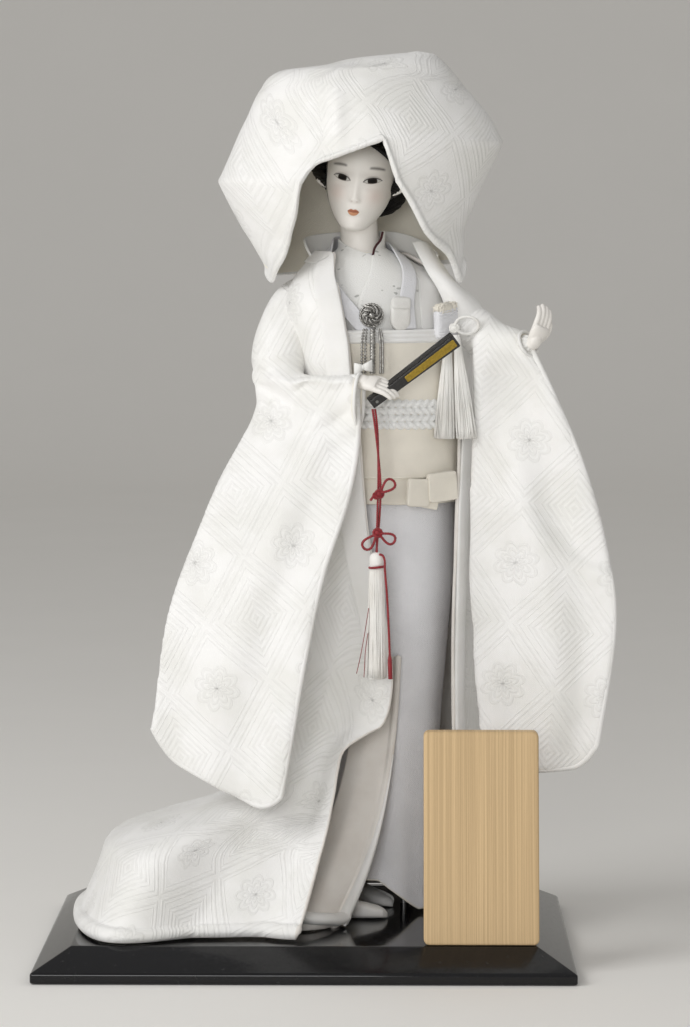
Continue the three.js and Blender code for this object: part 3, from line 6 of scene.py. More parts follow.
import bmesh
import bpy
import numpy as np
from mathutils import Matrix, Vector
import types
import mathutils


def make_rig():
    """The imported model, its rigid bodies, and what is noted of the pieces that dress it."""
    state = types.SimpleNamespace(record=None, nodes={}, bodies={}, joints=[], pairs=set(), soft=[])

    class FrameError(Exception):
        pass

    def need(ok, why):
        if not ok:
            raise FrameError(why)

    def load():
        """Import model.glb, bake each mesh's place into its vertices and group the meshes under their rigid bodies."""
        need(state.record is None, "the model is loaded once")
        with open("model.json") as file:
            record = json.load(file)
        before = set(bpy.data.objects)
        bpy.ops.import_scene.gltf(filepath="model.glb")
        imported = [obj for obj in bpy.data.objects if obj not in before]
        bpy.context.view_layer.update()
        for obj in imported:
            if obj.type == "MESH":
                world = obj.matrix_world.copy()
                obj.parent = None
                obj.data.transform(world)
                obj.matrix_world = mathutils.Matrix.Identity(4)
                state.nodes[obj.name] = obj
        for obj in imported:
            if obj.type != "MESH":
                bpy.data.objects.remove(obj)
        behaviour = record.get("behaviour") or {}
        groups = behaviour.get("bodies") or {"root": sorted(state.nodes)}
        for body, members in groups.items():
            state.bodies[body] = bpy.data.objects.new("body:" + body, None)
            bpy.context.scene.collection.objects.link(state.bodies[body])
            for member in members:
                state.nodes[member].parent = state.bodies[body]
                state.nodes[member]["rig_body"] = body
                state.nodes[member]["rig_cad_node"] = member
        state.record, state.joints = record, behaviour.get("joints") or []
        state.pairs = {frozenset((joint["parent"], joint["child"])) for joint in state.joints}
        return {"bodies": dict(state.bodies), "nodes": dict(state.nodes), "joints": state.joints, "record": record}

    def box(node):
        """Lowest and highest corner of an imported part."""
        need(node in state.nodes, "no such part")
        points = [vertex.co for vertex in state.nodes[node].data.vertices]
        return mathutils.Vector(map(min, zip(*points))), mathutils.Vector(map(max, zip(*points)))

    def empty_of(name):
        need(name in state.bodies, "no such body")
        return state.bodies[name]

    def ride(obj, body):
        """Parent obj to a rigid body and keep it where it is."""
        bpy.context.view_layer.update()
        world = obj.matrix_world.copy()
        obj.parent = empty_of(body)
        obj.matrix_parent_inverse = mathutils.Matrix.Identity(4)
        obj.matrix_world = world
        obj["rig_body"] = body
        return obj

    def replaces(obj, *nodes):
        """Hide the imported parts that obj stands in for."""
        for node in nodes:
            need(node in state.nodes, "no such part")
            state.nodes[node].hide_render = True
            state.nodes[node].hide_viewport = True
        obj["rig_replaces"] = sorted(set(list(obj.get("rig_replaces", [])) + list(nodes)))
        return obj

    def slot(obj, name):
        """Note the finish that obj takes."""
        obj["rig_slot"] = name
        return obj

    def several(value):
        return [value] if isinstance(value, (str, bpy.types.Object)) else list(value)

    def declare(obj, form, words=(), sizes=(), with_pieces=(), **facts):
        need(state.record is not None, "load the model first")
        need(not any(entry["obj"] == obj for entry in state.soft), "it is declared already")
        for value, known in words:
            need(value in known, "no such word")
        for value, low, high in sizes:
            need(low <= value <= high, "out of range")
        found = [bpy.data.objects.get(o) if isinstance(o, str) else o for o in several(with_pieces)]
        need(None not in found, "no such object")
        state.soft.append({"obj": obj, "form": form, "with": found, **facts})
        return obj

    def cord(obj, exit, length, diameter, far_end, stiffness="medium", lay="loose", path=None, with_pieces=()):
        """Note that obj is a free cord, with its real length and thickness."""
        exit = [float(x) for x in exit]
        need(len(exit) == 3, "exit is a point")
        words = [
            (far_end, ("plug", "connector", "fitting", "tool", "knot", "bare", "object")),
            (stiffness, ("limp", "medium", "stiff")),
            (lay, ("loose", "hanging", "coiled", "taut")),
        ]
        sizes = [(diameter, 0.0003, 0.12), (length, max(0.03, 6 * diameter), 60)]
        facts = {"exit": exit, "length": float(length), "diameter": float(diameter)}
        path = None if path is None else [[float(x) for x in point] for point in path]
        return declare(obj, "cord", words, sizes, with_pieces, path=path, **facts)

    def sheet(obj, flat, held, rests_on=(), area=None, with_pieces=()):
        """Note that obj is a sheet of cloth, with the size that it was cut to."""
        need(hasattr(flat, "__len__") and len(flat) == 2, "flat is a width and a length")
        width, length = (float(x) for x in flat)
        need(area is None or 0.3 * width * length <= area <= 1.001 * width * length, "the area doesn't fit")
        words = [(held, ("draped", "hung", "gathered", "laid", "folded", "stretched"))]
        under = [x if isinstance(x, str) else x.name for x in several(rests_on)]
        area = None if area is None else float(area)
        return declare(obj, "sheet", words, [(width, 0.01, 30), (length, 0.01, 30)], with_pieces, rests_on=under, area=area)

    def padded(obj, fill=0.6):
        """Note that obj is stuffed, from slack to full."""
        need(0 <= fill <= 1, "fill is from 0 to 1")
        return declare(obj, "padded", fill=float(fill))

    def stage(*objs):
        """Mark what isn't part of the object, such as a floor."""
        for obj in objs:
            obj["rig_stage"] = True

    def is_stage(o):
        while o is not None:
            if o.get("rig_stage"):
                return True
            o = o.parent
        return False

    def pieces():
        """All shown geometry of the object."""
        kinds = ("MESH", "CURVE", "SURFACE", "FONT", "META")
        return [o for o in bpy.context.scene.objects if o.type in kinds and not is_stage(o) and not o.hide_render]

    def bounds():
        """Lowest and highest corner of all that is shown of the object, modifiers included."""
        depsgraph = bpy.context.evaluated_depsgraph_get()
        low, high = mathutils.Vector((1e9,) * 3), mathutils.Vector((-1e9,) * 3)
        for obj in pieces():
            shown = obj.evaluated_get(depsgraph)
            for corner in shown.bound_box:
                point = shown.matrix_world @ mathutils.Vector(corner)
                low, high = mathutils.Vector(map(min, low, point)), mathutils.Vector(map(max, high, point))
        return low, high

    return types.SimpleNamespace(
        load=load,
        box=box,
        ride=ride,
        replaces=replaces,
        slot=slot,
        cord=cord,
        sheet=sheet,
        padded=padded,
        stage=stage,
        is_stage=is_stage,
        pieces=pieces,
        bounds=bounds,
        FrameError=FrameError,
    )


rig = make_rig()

bl_info = {
    "name": "Bride doll",
    "version": (1, 0, 0),
    "blender": (4, 5, 0),
    "location": "3D View > Sidebar > Bride doll",
    "description": "Dresses the solids of a white-robed bride doll and its lacquered board",
    "category": "Object",
}

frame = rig.load()
CAD_BOX = [[float(value) for value in corner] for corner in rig.bounds()]
NODES = frame["nodes"]

# Lengths are in millimetres until a mesh is made; heights of the doll are above the board's top.
MM = 0.001
BOARD_TOP = 17.0
# Gap between pieces, thickness of the robe's cloth, height of its hem and lift of the kimono off the trunk.
CLEAR = 0.4
CLOTH = 2.0
HEM_HEIGHT = 0.6
SKIN = 2.4
# Narrowest flat cut of a sheet, and distances within which points are welded, in metres.
NARROWEST = 0.0102
WELD, PAD_WELD = 2e-6, 1e-5
# Least lengths to divide by, and the step along a surface that gives its normals.
TINY, SMALL = 1e-12, 1e-9
STEP = 2e-3
# Size of the hands over their drawing, length of a palm there, and voxel sizes of the fused skins.
HAND_SCALE = 1.2
PALM = 11.6
HAND_VOXEL, SLEEVE_VOXEL, PAD_VOXEL = 0.32, 1.5, 2.5
# Upper edge of the kimono, lower edge of the under-collar, and points along the arm inside a sleeve.
KIMONO_TOP = 381.0
UNDER_FOOT = 336.0
LIMB = 24
# A tassel's depth for its width, the fan's length and its widths at both ends, and the dagger bag's place.
TASSEL_FLAT = 0.8
FAN_LENGTH, FAN_WIDTHS = 60.0, (5.2, 8.0)
DAGGER_SPOT = {"angle": 326, "height": 341.5, "lift": 10.6, "tilt": -8}
# The eyes' place on the face, half length and tilt in degrees; and the height of the line between the lips.
EYE = {"x": 8.75, "z": -0.6, "half": 5.0, "tilt": 8.5}
MOUTH = -18.9
# The lay of the small cords: strands, depth of the groove between them and sides of the tube.
LAY = {"lobes": 2, "depth": 0.3, "sides": 10}
# The camera that was fitted to the photograph: place, turns, focal length and picture height in pixels.
CAMERA = {"at": (0.0447, -1.9875, 0.4163), "pitch": -4.803, "yaw": 0.671, "focal": 3481, "height": 1027}
# Width of the camera's sensor, and the place that the lights point at, in metres.
SENSOR = 36.0
LIGHT_AIM = (0.03, 0.0, 0.24)

# The trunk: height, middle x and y, half width, half depth, turn in degrees.
TRUNK = [
    [5, 38, 26, 27, 33, 60], [100, 43, 28, 28, 32, 52], [200, 49, 29, 33, 32, 42],
    [255, 50, 29, 33, 29, 34], [295, 48, 28, 34, 28, 28], [328, 44, 27, 38, 27, 24],
    [350, 40, 27, 41, 25, 20], [364, 37, 27, 35, 20, 15], [376, 32, 26, 20, 15, 5],
    [384, 30, 25, 10.5, 10.5, 0],
]
# The kimono collar's line: angle round the trunk and height. The under-collar's inner edges: height, and
# angle on the viewer's right and on the viewer's left.
NECKLINE = [
    [266, 336], [252, 352], [234, 366], [206, 379], [180, 384], [140, 386], [90, 386], [40, 384],
    [0, 382], [-20, 379], [-45, 370], [-56, 362], [-62, 352], [-64, 338],
]
UNDER_EDGES = [
    [338, 256, 306], [360, 268, 304], [372, 278, 300], [380, 290, 288], [382, 298, 268], [385, 310, 235],
    [388.5, 325, 195], [393, 335, 180],
]
# The robe's hem: share of the way round, x, y, angle on the trunk, power of the flare, share of level train.
ROBE_HEM = [
    [0, -5, -80, 258, 2.3, 0], [0.1, -26, -74, 244, 2.7, 0], [0.2, -62, -74, 229, 2.7, 0.2],
    [0.3, -109, -86, 214, 2.2, 0.7], [0.4, -134, 2, 192, 1.35, 1], [0.5, -100, 56, 170, 1.5, 0.9],
    [0.6, -36, 82, 144, 1.7, 0.4], [0.7, 38, 89, 104, 1.6, 0], [0.8, 98, 68, 46, 1.4, 0],
    [0.9, 112, 24, 4, 1.3, 0], [1, 90, -14, -40, 1.3, 0],
]
# How far each front edge of the robe turns from its hem's angle: height, right edge, left edge.
ROBE_EDGE = [
    [0, 0, 0], [37, -4, 0], [75, -6, 0], [88, -8, 0], [100, -6, 0], [108, 12, 0], [113, 26, 0],
    [134, 26, 0], [160, 16, 0], [220, -6, 2], [300, -12, 14], [335, -7, 16], [352, -6, 14],
    [380, -14, 12],
]
ROBE = {"top": 380, "flare": 236, "pleats": 7, "pleat": 2.6, "reach": 0.28}
SECOND_HEM = [[0, 17, -35, 281, 3, 0], [0.5, 2, -52, 258, 3, 0], [1, -22, -50, 238, 3, 0]]
SECOND = {"top": 150, "flare": 150, "pleats": 2, "pleat": 1.2, "reach": 1.0}
OBI_BACK = {"angle": 112, "z": 292, "turn": 46, "high": 42, "stand": 17.25}
# The hood: height, middle x, half width, half depth; and its rim: turn from the front and height.
HOOD_FORM = [
    [361, 33.8, 53.8, 45], [387, 28.4, 61.6, 48], [396, 26, 64.5, 49.5], [420, 25, 76, 52],
    [422.4, 25.2, 77, 52], [426, 27, 77, 52], [443.9, 35.1, 76.9, 51], [448, 35, 75, 50],
    [457.7, 34.8, 70.2, 48], [474.5, 32, 59.5, 41.5], [485.5, 33.5, 49, 33], [488.4, 44, 36, 28],
    [492.5, 50.6, 24.9, 20], [495, 61, 11, 9], [496.2, 64, 2, 2],
]
HOOD_RIM = [
    [-180, 371], [-110, 369], [-90, 367], [-76, 365.5], [-60, 373], [-46, 383], [-31.4, 403],
    [-25.5, 421], [-23, 430.5], [-17, 434.5], [-3.5, 441.4], [6.5, 445.2], [7.6, 446], [9, 444],
    [27.6, 416], [46.6, 390], [60, 381], [79, 365.5], [90, 372], [110, 377], [180, 371],
]
HOOD = {"y": 27, "square": 1.7, "top": 496.2, "crown_gap": 2.6}
# The head: middle, roll, nod and turn in degrees; and its outline: height, half width, middle y, half depth.
HEAD = {"at": (30, 21, 423), "roll": 7, "nod": 6, "turn": -4}
# Features of the face sit this much higher than the numbers below, as the nod lowers them.
FACE_RAISE = 2.5
SKULL = [
    [-28, 3.5, -14, 3.5], [-26, 8, -11, 9.5], [-18, 14.5, -4, 18.5], [-8, 18.6, -1, 23], [4, 20, 0, 25],
    [14, 19.8, 1, 25], [22, 15.5, 2, 20], [26.5, 9, 2, 11.5], [28, 2, 2, 2.5],
]
# A foot's half width, height and length; and its form: share of the length from the toe, shares of its width
# and height.
FOOT = {"half": 7, "high": 13, "long": 42}
FOOT_FORM = [
    [0, 0.1, 0.2], [0.03, 0.45, 0.34], [0.08, 0.8, 0.46], [0.22, 1, 0.6], [0.42, 0.9, 0.78],
    [0.62, 0.78, 1], [0.9, 0.74, 1], [1, 0.4, 0.8],
]
# The sleeves: points down the outer and the inner edge, the upper arm's line and radii, swell and rounding.
RIGHT_SLEEVE = {
    "outer": [[-31.5, 13, 311], [-29, 10, 292], [-46, 0, 258], [-68, -12, 206], [-81, -22, 158],
              [-87, -30, 100]],
    "inner": [[27, -24, 313], [29, -28, 280], [23, -36, 244], [9, -44, 200], [-1, -52, 150],
              [-14, -60, 66]],
    "upper": [[14, 31, 362], [-6, 29, 351], [-13, 21, 334], [-18.5, 13, 306]],
    "radii": [13, 15, 17, 16], "bulge": 7,
    "lower": [[-23, 16, 303], [-7, 4, 300], [12, -12, 298], [26, -22, 298]], "drape": 1.6,
}
LEFT_SLEEVE = {
    "outer": [[127, -12, 328], [140, -17, 300], [155, -19, 264], [168, -20, 218], [174, -19, 168],
              [165, -17, 90]],
    "inner": [[98, 14, 338], [97, 11, 298], [95, 8, 250], [94, 5, 200], [96, 1, 150], [102, -6, 84]],
    "upper": [[74, 32, 347], [91, 26, 339], [108, 9, 331], [124, -9.4, 330]],
    "radii": [12, 13.5, 11, 8.4], "bulge": 6,
    "fold": [[80, 185], [185, 182], [198, 172], [207, 152], [241, 121], [314, 104], [340, 90]],
}
FAN_BUTT = np.array([36.0, -27.0, 297.0])
FAN_CORD_ROUTE = FAN_BUTT + np.array([
    [2, -2.6, -3.2], [3.4, -5, -14], [4.6, -7.6, -30], [5.2, -8.6, -46], [4.7, -8.8, -62], [4, -9, -76],
    [3.6, -9, -85],
])


# Forms shared with the solids

def ease(value, low, high):
    """Smooth step: 0 up to low, 1 from high, three times the square less twice the cube between."""
    t = np.clip((np.asarray(value, float) - low) / (high - low), 0, 1)
    return t * t * (3 - 2 * t)


def near(value, middle, width):
    """Bell curve: the exponent of minus the squared distance from the middle, in widths."""
    return np.exp(-(((value - middle) / width) ** 2))


def mix(a, b, share):
    """Straight blend from a to b."""
    return a + (b - a) * share


def bent(value, power):
    """A value raised to a power with its sign kept."""
    return np.sign(value) * np.abs(value) ** power


def unit(vectors, least=0.0):
    """Vectors divided by their lengths, with a least length added where one may be nothing."""
    return vectors / (np.linalg.norm(vectors, axis=-1, keepdims=True) + least)


def full_turn(count):
    """Even angles once round, in radians, the last on the first."""
    return np.linspace(0, 2 * np.pi, count)


def run_along(path):
    """Length of a line from its start to each of its points."""
    return np.concatenate([[0], np.cumsum(np.linalg.norm(np.diff(path, axis=0), axis=1))])


def smooth_rows(rows, key):
    """A table read between its rows: a cubic per column whose slope at a row is that between its
    neighbours."""
    rows = np.asarray(rows, float)
    keys, values = rows[:, 0], rows[:, 1:]
    last = len(keys) - 1
    key = np.clip(np.asarray(key, float), keys[0], keys[-1])
    i = np.clip(np.searchsorted(keys, key, side="left") - 1, 0, last - 1)
    low, high = np.maximum(np.arange(last + 1) - 1, 0), np.minimum(np.arange(last + 1) + 1, last)
    slopes = (values[high] - values[low]) / (keys[high] - keys[low])[:, None]
    span = (keys[i + 1] - keys[i])[..., None]
    u = (key - keys[i])[..., None] / span
    bend = (u - 1) * ((u - 1) * slopes[i] + u * slopes[i + 1]) * u * span
    return values[i] + (values[i + 1] - values[i]) * (u * u * (3 - 2 * u)) + bend


def columns(rows, key):
    """The columns of a table read between its rows, one array each."""
    return np.moveaxis(smooth_rows(rows, key), -1, 0)


def even_rows(values, share):
    """A list of values read at shares of its length, as a table of evenly spaced rows."""
    return smooth_rows(np.column_stack([np.linspace(0, 1, len(values)), values]), share)


def curve(points, count):
    """A smooth line through points: a cubic in the length of the straight pieces, at even shares of
    it."""
    points = np.asarray(points, float)
    reach = run_along(points)
    table = np.column_stack([reach, points])
    return smooth_rows(table, np.linspace(0, reach[-1], count))


def on_trunk(angle, height, lift=0.0):
    """A point of the trunk: an ellipse grown by lift, turned about the trunk's middle at that height."""
    angle, height = np.broadcast_arrays(np.asarray(angle, float), np.asarray(height, float))
    x, y, wide, deep, turn = columns(TRUNK, height)
    turn = np.radians(turn)
    p = np.radians(angle) - turn
    u, v = (wide + lift) * np.cos(p), (deep + lift) * np.sin(p)
    x, y = x + u * np.cos(turn) - v * np.sin(turn), y + u * np.sin(turn) + v * np.cos(turn)
    return np.stack([x, y, height], -1)


def robe_lift(turn, z):
    """How far the robe stands off the trunk: less at the neck, more over the bow on the back."""
    flat = mix(12.0, 10.4, ease(z, 345, 368))
    flat = flat - 4.6 * near(turn, -30, 20) * ease(z, 322, 338) * (1 - ease(z, 354, 366))
    return flat + OBI_BACK["stand"] * near(turn, OBI_BACK["angle"], OBI_BACK["turn"]) * near(
        z, OBI_BACK["z"], OBI_BACK["high"])


def on_drape(form, hem, edge, lift, s, down):
    """Hanging cloth: the trunk's surface high up, blended into the hem's line by a power of the fall,
    with pleats."""
    s, down = np.broadcast_arrays(np.asarray(s, float), np.asarray(down, float))
    z = form["top"] + (HEM_HEIGHT - form["top"]) * down
    hem_x, hem_y, angle, power, shelf = columns(hem, s)
    right, left = columns(edge, z)
    pull_right = np.maximum(1 - s / form["reach"], 0) ** 2
    pull_left = np.maximum(1 - (1 - s) / form["reach"], 0) ** 2
    turn = angle + right * pull_right + left * pull_left
    high = on_trunk(turn, z, lift(turn, z))
    fall = np.clip((form["flare"] - z) / (form["flare"] - HEM_HEIGHT), 0, 1)
    low = np.stack([hem_x, hem_y, z], -1)
    out = unit((low - high) * [1, 1, 0], SMALL)
    wave = form["pleat"] * np.sin(2 * np.pi * form["pleats"] * s) * fall**1.5 * np.sin(np.pi * s) ** 0.5
    ledge = 0.35 * fall**2.2 + 0.65 * (1 - ease(z, 42, 80))
    share = mix(fall**power, ledge, np.clip(shelf, 0, 1))
    return mix(high, low, share[..., None]) + out * wave[..., None]


def on_robe(s, down):
    """A point of the robe's inner side."""
    return on_drape(ROBE, ROBE_HEM, ROBE_EDGE, robe_lift, s, down)


def robe_top(s):
    """Height of the robe's upper edge: the neck's height, falling away in a round corner at each front
    edge."""
    return ROBE["top"] - 17 * (1 - ease(s, 0, 0.15)) - 15 * ease(s, 0.86, 1)


def robe_down(z):
    """Share of the way down the robe at a height."""
    return (ROBE["top"] - np.asarray(z, float)) / (ROBE["top"] - HEM_HEIGHT)


def lifted(surface, s, down, lift):
    """A surface's points moved off it along its normal, the cross product of its two small steps."""
    along_s = surface(np.clip(s + STEP, 0, 1), down) - surface(np.clip(s - STEP, 0, 1), down)
    along_d = surface(s, np.clip(down + STEP, 0, 1)) - surface(s, np.clip(down - STEP, 0, 1))
    normal = unit(np.cross(along_s, along_d), SMALL)
    return surface(s, down) + normal * np.asarray(lift, float)[..., None], normal


def on_hood(turn, drop, inset):
    """The hood: a rounded diamond section by height, from the crown down to the rim's own height at each
    turn."""
    turn, drop = np.broadcast_arrays(np.asarray(turn, float), np.asarray(drop, float))
    top = HOOD["top"] - (inset + HOOD["crown_gap"] if inset else 0)
    rim = smooth_rows(HOOD_RIM, turn)[..., 0]
    z = top + (rim - top) * (0.3 * np.sin(drop * np.pi / 2) ** 2 + 0.7 * drop)
    middle, wide, deep = columns(HOOD_FORM, np.minimum(z + inset, HOOD["top"]))
    power = 2 / HOOD["square"]
    t = np.radians(turn)
    x = middle + (wide - inset) * bent(np.sin(t), power)
    return np.stack([x, HOOD["y"] - (deep - inset) * bent(np.cos(t), power), z], -1)


def turning(x=0.0, y=0.0, z=0.0):
    """A turn about X, then Y, then Z, in degrees, as a matrix for rows of points."""
    spin = Matrix.Rotation(math.radians(z), 3, "Z") @ Matrix.Rotation(math.radians(y), 3, "Y")
    return np.array(spin @ Matrix.Rotation(math.radians(x), 3, "X")).T


HEAD_TURN = turning(z=HEAD["turn"]) @ turning(x=HEAD["nod"]) @ turning(y=HEAD["roll"])


def in_head(points):
    """Points of the head's own frame, turned, nodded, rolled and set on the neck."""
    return points @ HEAD_TURN + HEAD["at"]


def middle_of(node):
    """The middle of a solid's box, in the doll's millimetres."""
    low, high = (np.array(corner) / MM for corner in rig.box(node))
    return (low + high) / 2 - [0, 0, BOARD_TOP]


def in_world(path):
    """A line of the doll in metres of the frame, and its length."""
    world = (path + [0, 0, BOARD_TOP]) * MM
    return world, float(run_along(world)[-1])


def on_chest(points, angle, height, lift, tilt=0.0):
    """A small piece whose front is minus Y, set on the trunk so that it faces outwards there."""
    here, there = on_trunk(angle, height, lift), on_trunk(angle + 1, height, lift)
    turn = math.degrees(math.atan2(there[1] - here[1], there[0] - here[0]))
    return points @ turning(y=tilt) @ turning(z=turn) + here


# Meshes from grids of points

def grid_normals(points, closed=False):
    """Normals of a grid: the cross product of the steps across and down."""
    wide = np.concatenate([points[:, -2:-1], points, points[:, 1:2]], 1) if closed else points
    across = np.gradient(wide, axis=1)
    across = across[:, 1:-1] if closed else across
    return unit(np.cross(across, np.gradient(points, axis=0)), TINY)


def cloth_uv(points, middle=0.5):
    """Places on a cloth in metres: its length across from a middle column, and its length down."""
    across = np.linalg.norm(np.diff(points, axis=1), axis=-1)
    across = np.concatenate([np.zeros_like(across[:, :1]), np.cumsum(across, 1)], 1)
    across = across - across[:, [int(middle * (points.shape[1] - 1))]]
    down = np.linalg.norm(np.diff(points, axis=0), axis=-1)
    down = np.concatenate([np.zeros_like(down[:1]), np.cumsum(down, 0)], 0)
    return np.stack([across, -down], -1) * MM


def ruck(u, v, seed, size, count=7):
    """Unevenness of cloth from -1 to 1: sine waves of about one size added in seeded directions."""
    rng = np.random.default_rng(seed)
    turn, phase = rng.uniform(0, np.pi, count), rng.uniform(0, 2 * np.pi, count)
    step = 2 * np.pi / (size * rng.uniform(0.7, 1.5, count))
    waves = [np.sin(k * (u * math.cos(a) + v * math.sin(a)) + p) for k, a, p in zip(step, turn, phase)]
    return sum(waves) / count**0.5 / 1.4


def cut_of(obj, grid):
    """A sheet's flat cut in metres: its longest row and column, and half its skin's area, as it has two
    sides."""
    across = max(np.linalg.norm(np.diff(grid, axis=1), axis=-1).sum(1).max() * MM, NARROWEST)
    down = max(np.linalg.norm(np.diff(grid, axis=0), axis=-1).sum(0).max() * MM, NARROWEST)
    areas = np.zeros(len(obj.data.polygons), np.float32)
    obj.data.polygons.foreach_get("area", areas)
    area = 0.5 * float(areas.sum())
    down = max(down, area / across)
    return {"flat": (float(across), float(down)), "area": max(area, 0.3 * float(across * down))}


class Patchwork:
    """Grids of points gathered for one mesh, with their UVs in metres, finishes and paint."""

    def __init__(self):
        self.points, self.quads, self.uvs, self.finish, self.paint, self.count = [], [], [], [], [], 0

    def add(self, points, uv=None, finish=0, paint=None):
        """Adds a grid: each square of four neighbours becomes a face, wound across and then down."""
        rows, cols = points.shape[:2]
        at = np.arange(rows * cols).reshape(rows, cols) + self.count
        quads = np.stack([at[:-1, :-1], at[:-1, 1:], at[1:, 1:], at[1:, :-1]], -1).reshape(-1, 4)
        self.points.append(points.reshape(-1, 3))
        self.quads.append(quads)
        self.uvs.append((cloth_uv(points) if uv is None else uv).reshape(-1, 2))
        self.finish.append(np.full(len(quads), finish))
        self.paint.append(np.zeros((rows * cols, 4)) if paint is None else paint.reshape(-1, 4))
        self.count += rows * cols
        return self

    def cloth(self, points, thick, uv=None, closed=False, lining=1, back=None, edge=None, rim_most=99.0):
        """A sheet with thickness: its face, its lining moved back along the normals, and half-round
        edges."""
        uv = cloth_uv(points) if uv is None else uv
        self.face = points
        if back is None:
            depth = np.broadcast_to(thick, points.shape[:2])[..., None]
            back = points - grid_normals(points, closed) * depth
        self.add(points, uv).add(back[:, ::-1], uv[:, ::-1], lining)
        out = np.zeros_like(points)
        out[0] += points[0] - points[1]
        out[-1] += points[-1] - points[-2]
        if not closed:
            out[:, 0] += points[:, 0] - points[:, 1]
            out[:, -1] += points[:, -1] - points[:, -2]
        out = unit(out, TINY)
        sides = [np.s_[0, :], np.s_[-1, :]] + ([] if closed else [np.s_[:, 0], np.s_[:, -1]])
        round_off = np.linspace(0, np.pi, 7)[:, None, None]
        for side in sides:
            middle, half = (points[side] + back[side]) / 2, (points[side] - back[side]) / 2
            bulge = out[side] * np.minimum(np.linalg.norm(half, axis=-1, keepdims=True), rim_most)
            rim = middle + half * np.cos(round_off) + bulge * np.sin(round_off)
            self.add(rim, np.broadcast_to(uv[side], rim.shape[:2] + (2,)),
                     lining if edge is None else edge)
        return self

    def capped(self, grid, finish=0, paint=None):
        """A closed strip of rings, with each end drawn to its own middle point and its paint drawn
        along."""
        ends = [np.broadcast_to(row[:-1].mean(0), row.shape)[None] for row in (grid[0], grid[-1])]
        paint = None if paint is None else np.concatenate([paint[:1], paint, paint[-1:]])
        return self.add(np.concatenate([ends[0], grid, ends[1]]), None, finish, paint)


def sweep(path, radius, sides=12, flat=1.0, start=(0.0, 0.0, 1.0)):
    """A tube: a ring of the given radius carried along a path, its frame turned as little as the path
    allows."""
    path = np.asarray(path, float)
    tangent = unit(np.gradient(path, axis=0), TINY)
    side = np.zeros_like(path)
    last = np.cross(tangent[0], start)
    if np.linalg.norm(last) < 1e-3:
        last = np.cross(tangent[0], (1.0, 0.0, 0.0))
    for i, way in enumerate(tangent):
        last = last - way * (last @ way)
        last = last / np.linalg.norm(last)
        side[i] = last
    other = np.cross(tangent, side)
    turn = full_turn(sides + 1)[None, :, None]
    radius = np.asarray(radius, float)
    radius = radius[:, None] if radius.ndim == 1 else radius
    ring = side[:, None] * np.cos(turn) + flat * other[:, None] * np.sin(turn)
    return path[:, None] + np.broadcast_to(radius, ring.shape[:2])[..., None] * ring


def twisted(path, radius, pitch, lobes, depth, sides, hand=1):
    """A laid cord: a tube whose ring has a few lobes that turn once in each pitch along it."""
    run = run_along(path)
    turn = full_turn(sides + 1)[None, :]
    ring = np.abs(np.cos(lobes / 2 * turn + hand * lobes * np.pi * run[:, None] / pitch))
    return sweep(path, radius * (1 - depth + depth * ring), sides)


def pillow(half, power=(1.0, 1.0), rows=20, cols=36):
    """A rounded block: a sphere whose sines and cosines are raised to powers, stretched to half sizes."""
    up = np.linspace(-np.pi / 2, np.pi / 2, rows)[:, None]
    turn = full_turn(cols + 1)[None, :]
    ring = bent(np.cos(up), power[0])
    x, y = half[0] * ring * bent(np.cos(turn), power[1]), half[1] * ring * bent(np.sin(turn), power[1])
    return np.stack([x, y, half[2] * bent(np.sin(up), power[0]) * np.ones_like(turn)], -1)


def link(obj):
    """Puts an object into the scene."""
    bpy.context.scene.collection.objects.link(obj)
    return obj


def shade_smooth(mesh):
    """Shades every face of a mesh smooth."""
    mesh.polygons.foreach_set("use_smooth", np.ones(len(mesh.polygons), bool))


def weld(mesh, distance, outwards):
    """Joins points closer than a distance, and turns the faces outwards where asked."""
    work = bmesh.new()
    work.from_mesh(mesh)
    bmesh.ops.remove_doubles(work, verts=work.verts, dist=distance)
    if outwards:
        bmesh.ops.recalc_face_normals(work, faces=work.faces)
    work.to_mesh(mesh)
    work.free()


def piece(name, patch, finishes, body, slot, stands_for=(), up=BOARD_TOP):
    """One finished object: the gathered grids welded, faced outwards, shaded smooth and set on its
    body."""
    points = (np.concatenate(patch.points) + [0, 0, up]) * MM
    quads, uvs = np.concatenate(patch.quads), np.concatenate(patch.uvs)
    mesh = bpy.data.meshes.new(name)
    mesh.from_pydata(points.tolist(), [], quads.tolist())
    mesh.uv_layers.new(name="cloth").data.foreach_set("uv", uvs[quads.ravel()].astype(np.float32).ravel())
    mesh.polygons.foreach_set("material_index", np.concatenate(patch.finish).astype(np.int32))
    paint = np.concatenate(patch.paint).astype(np.float32)
    if paint.any():
        layer = mesh.color_attributes.new("paint", "FLOAT_COLOR", "POINT")
        layer.data.foreach_set("color", paint.ravel())
    weld(mesh, WELD, True)
    return settle(bpy.data.objects.new(name, mesh), finishes, body, slot, stands_for)


def settle(obj, finishes, body, slot, stands_for=()):
    """Gives a mesh object its finishes, the solids it stands for, its slot and the body that it rides
    on."""
    link(obj)
    for key in finishes:
        obj.data.materials.append(FINISHES[key])
    shade_smooth(obj.data)
    obj.data.update()
    if stands_for:
        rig.replaces(obj, *stands_for)
    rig.slot(obj, slot)
    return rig.ride(obj, body)


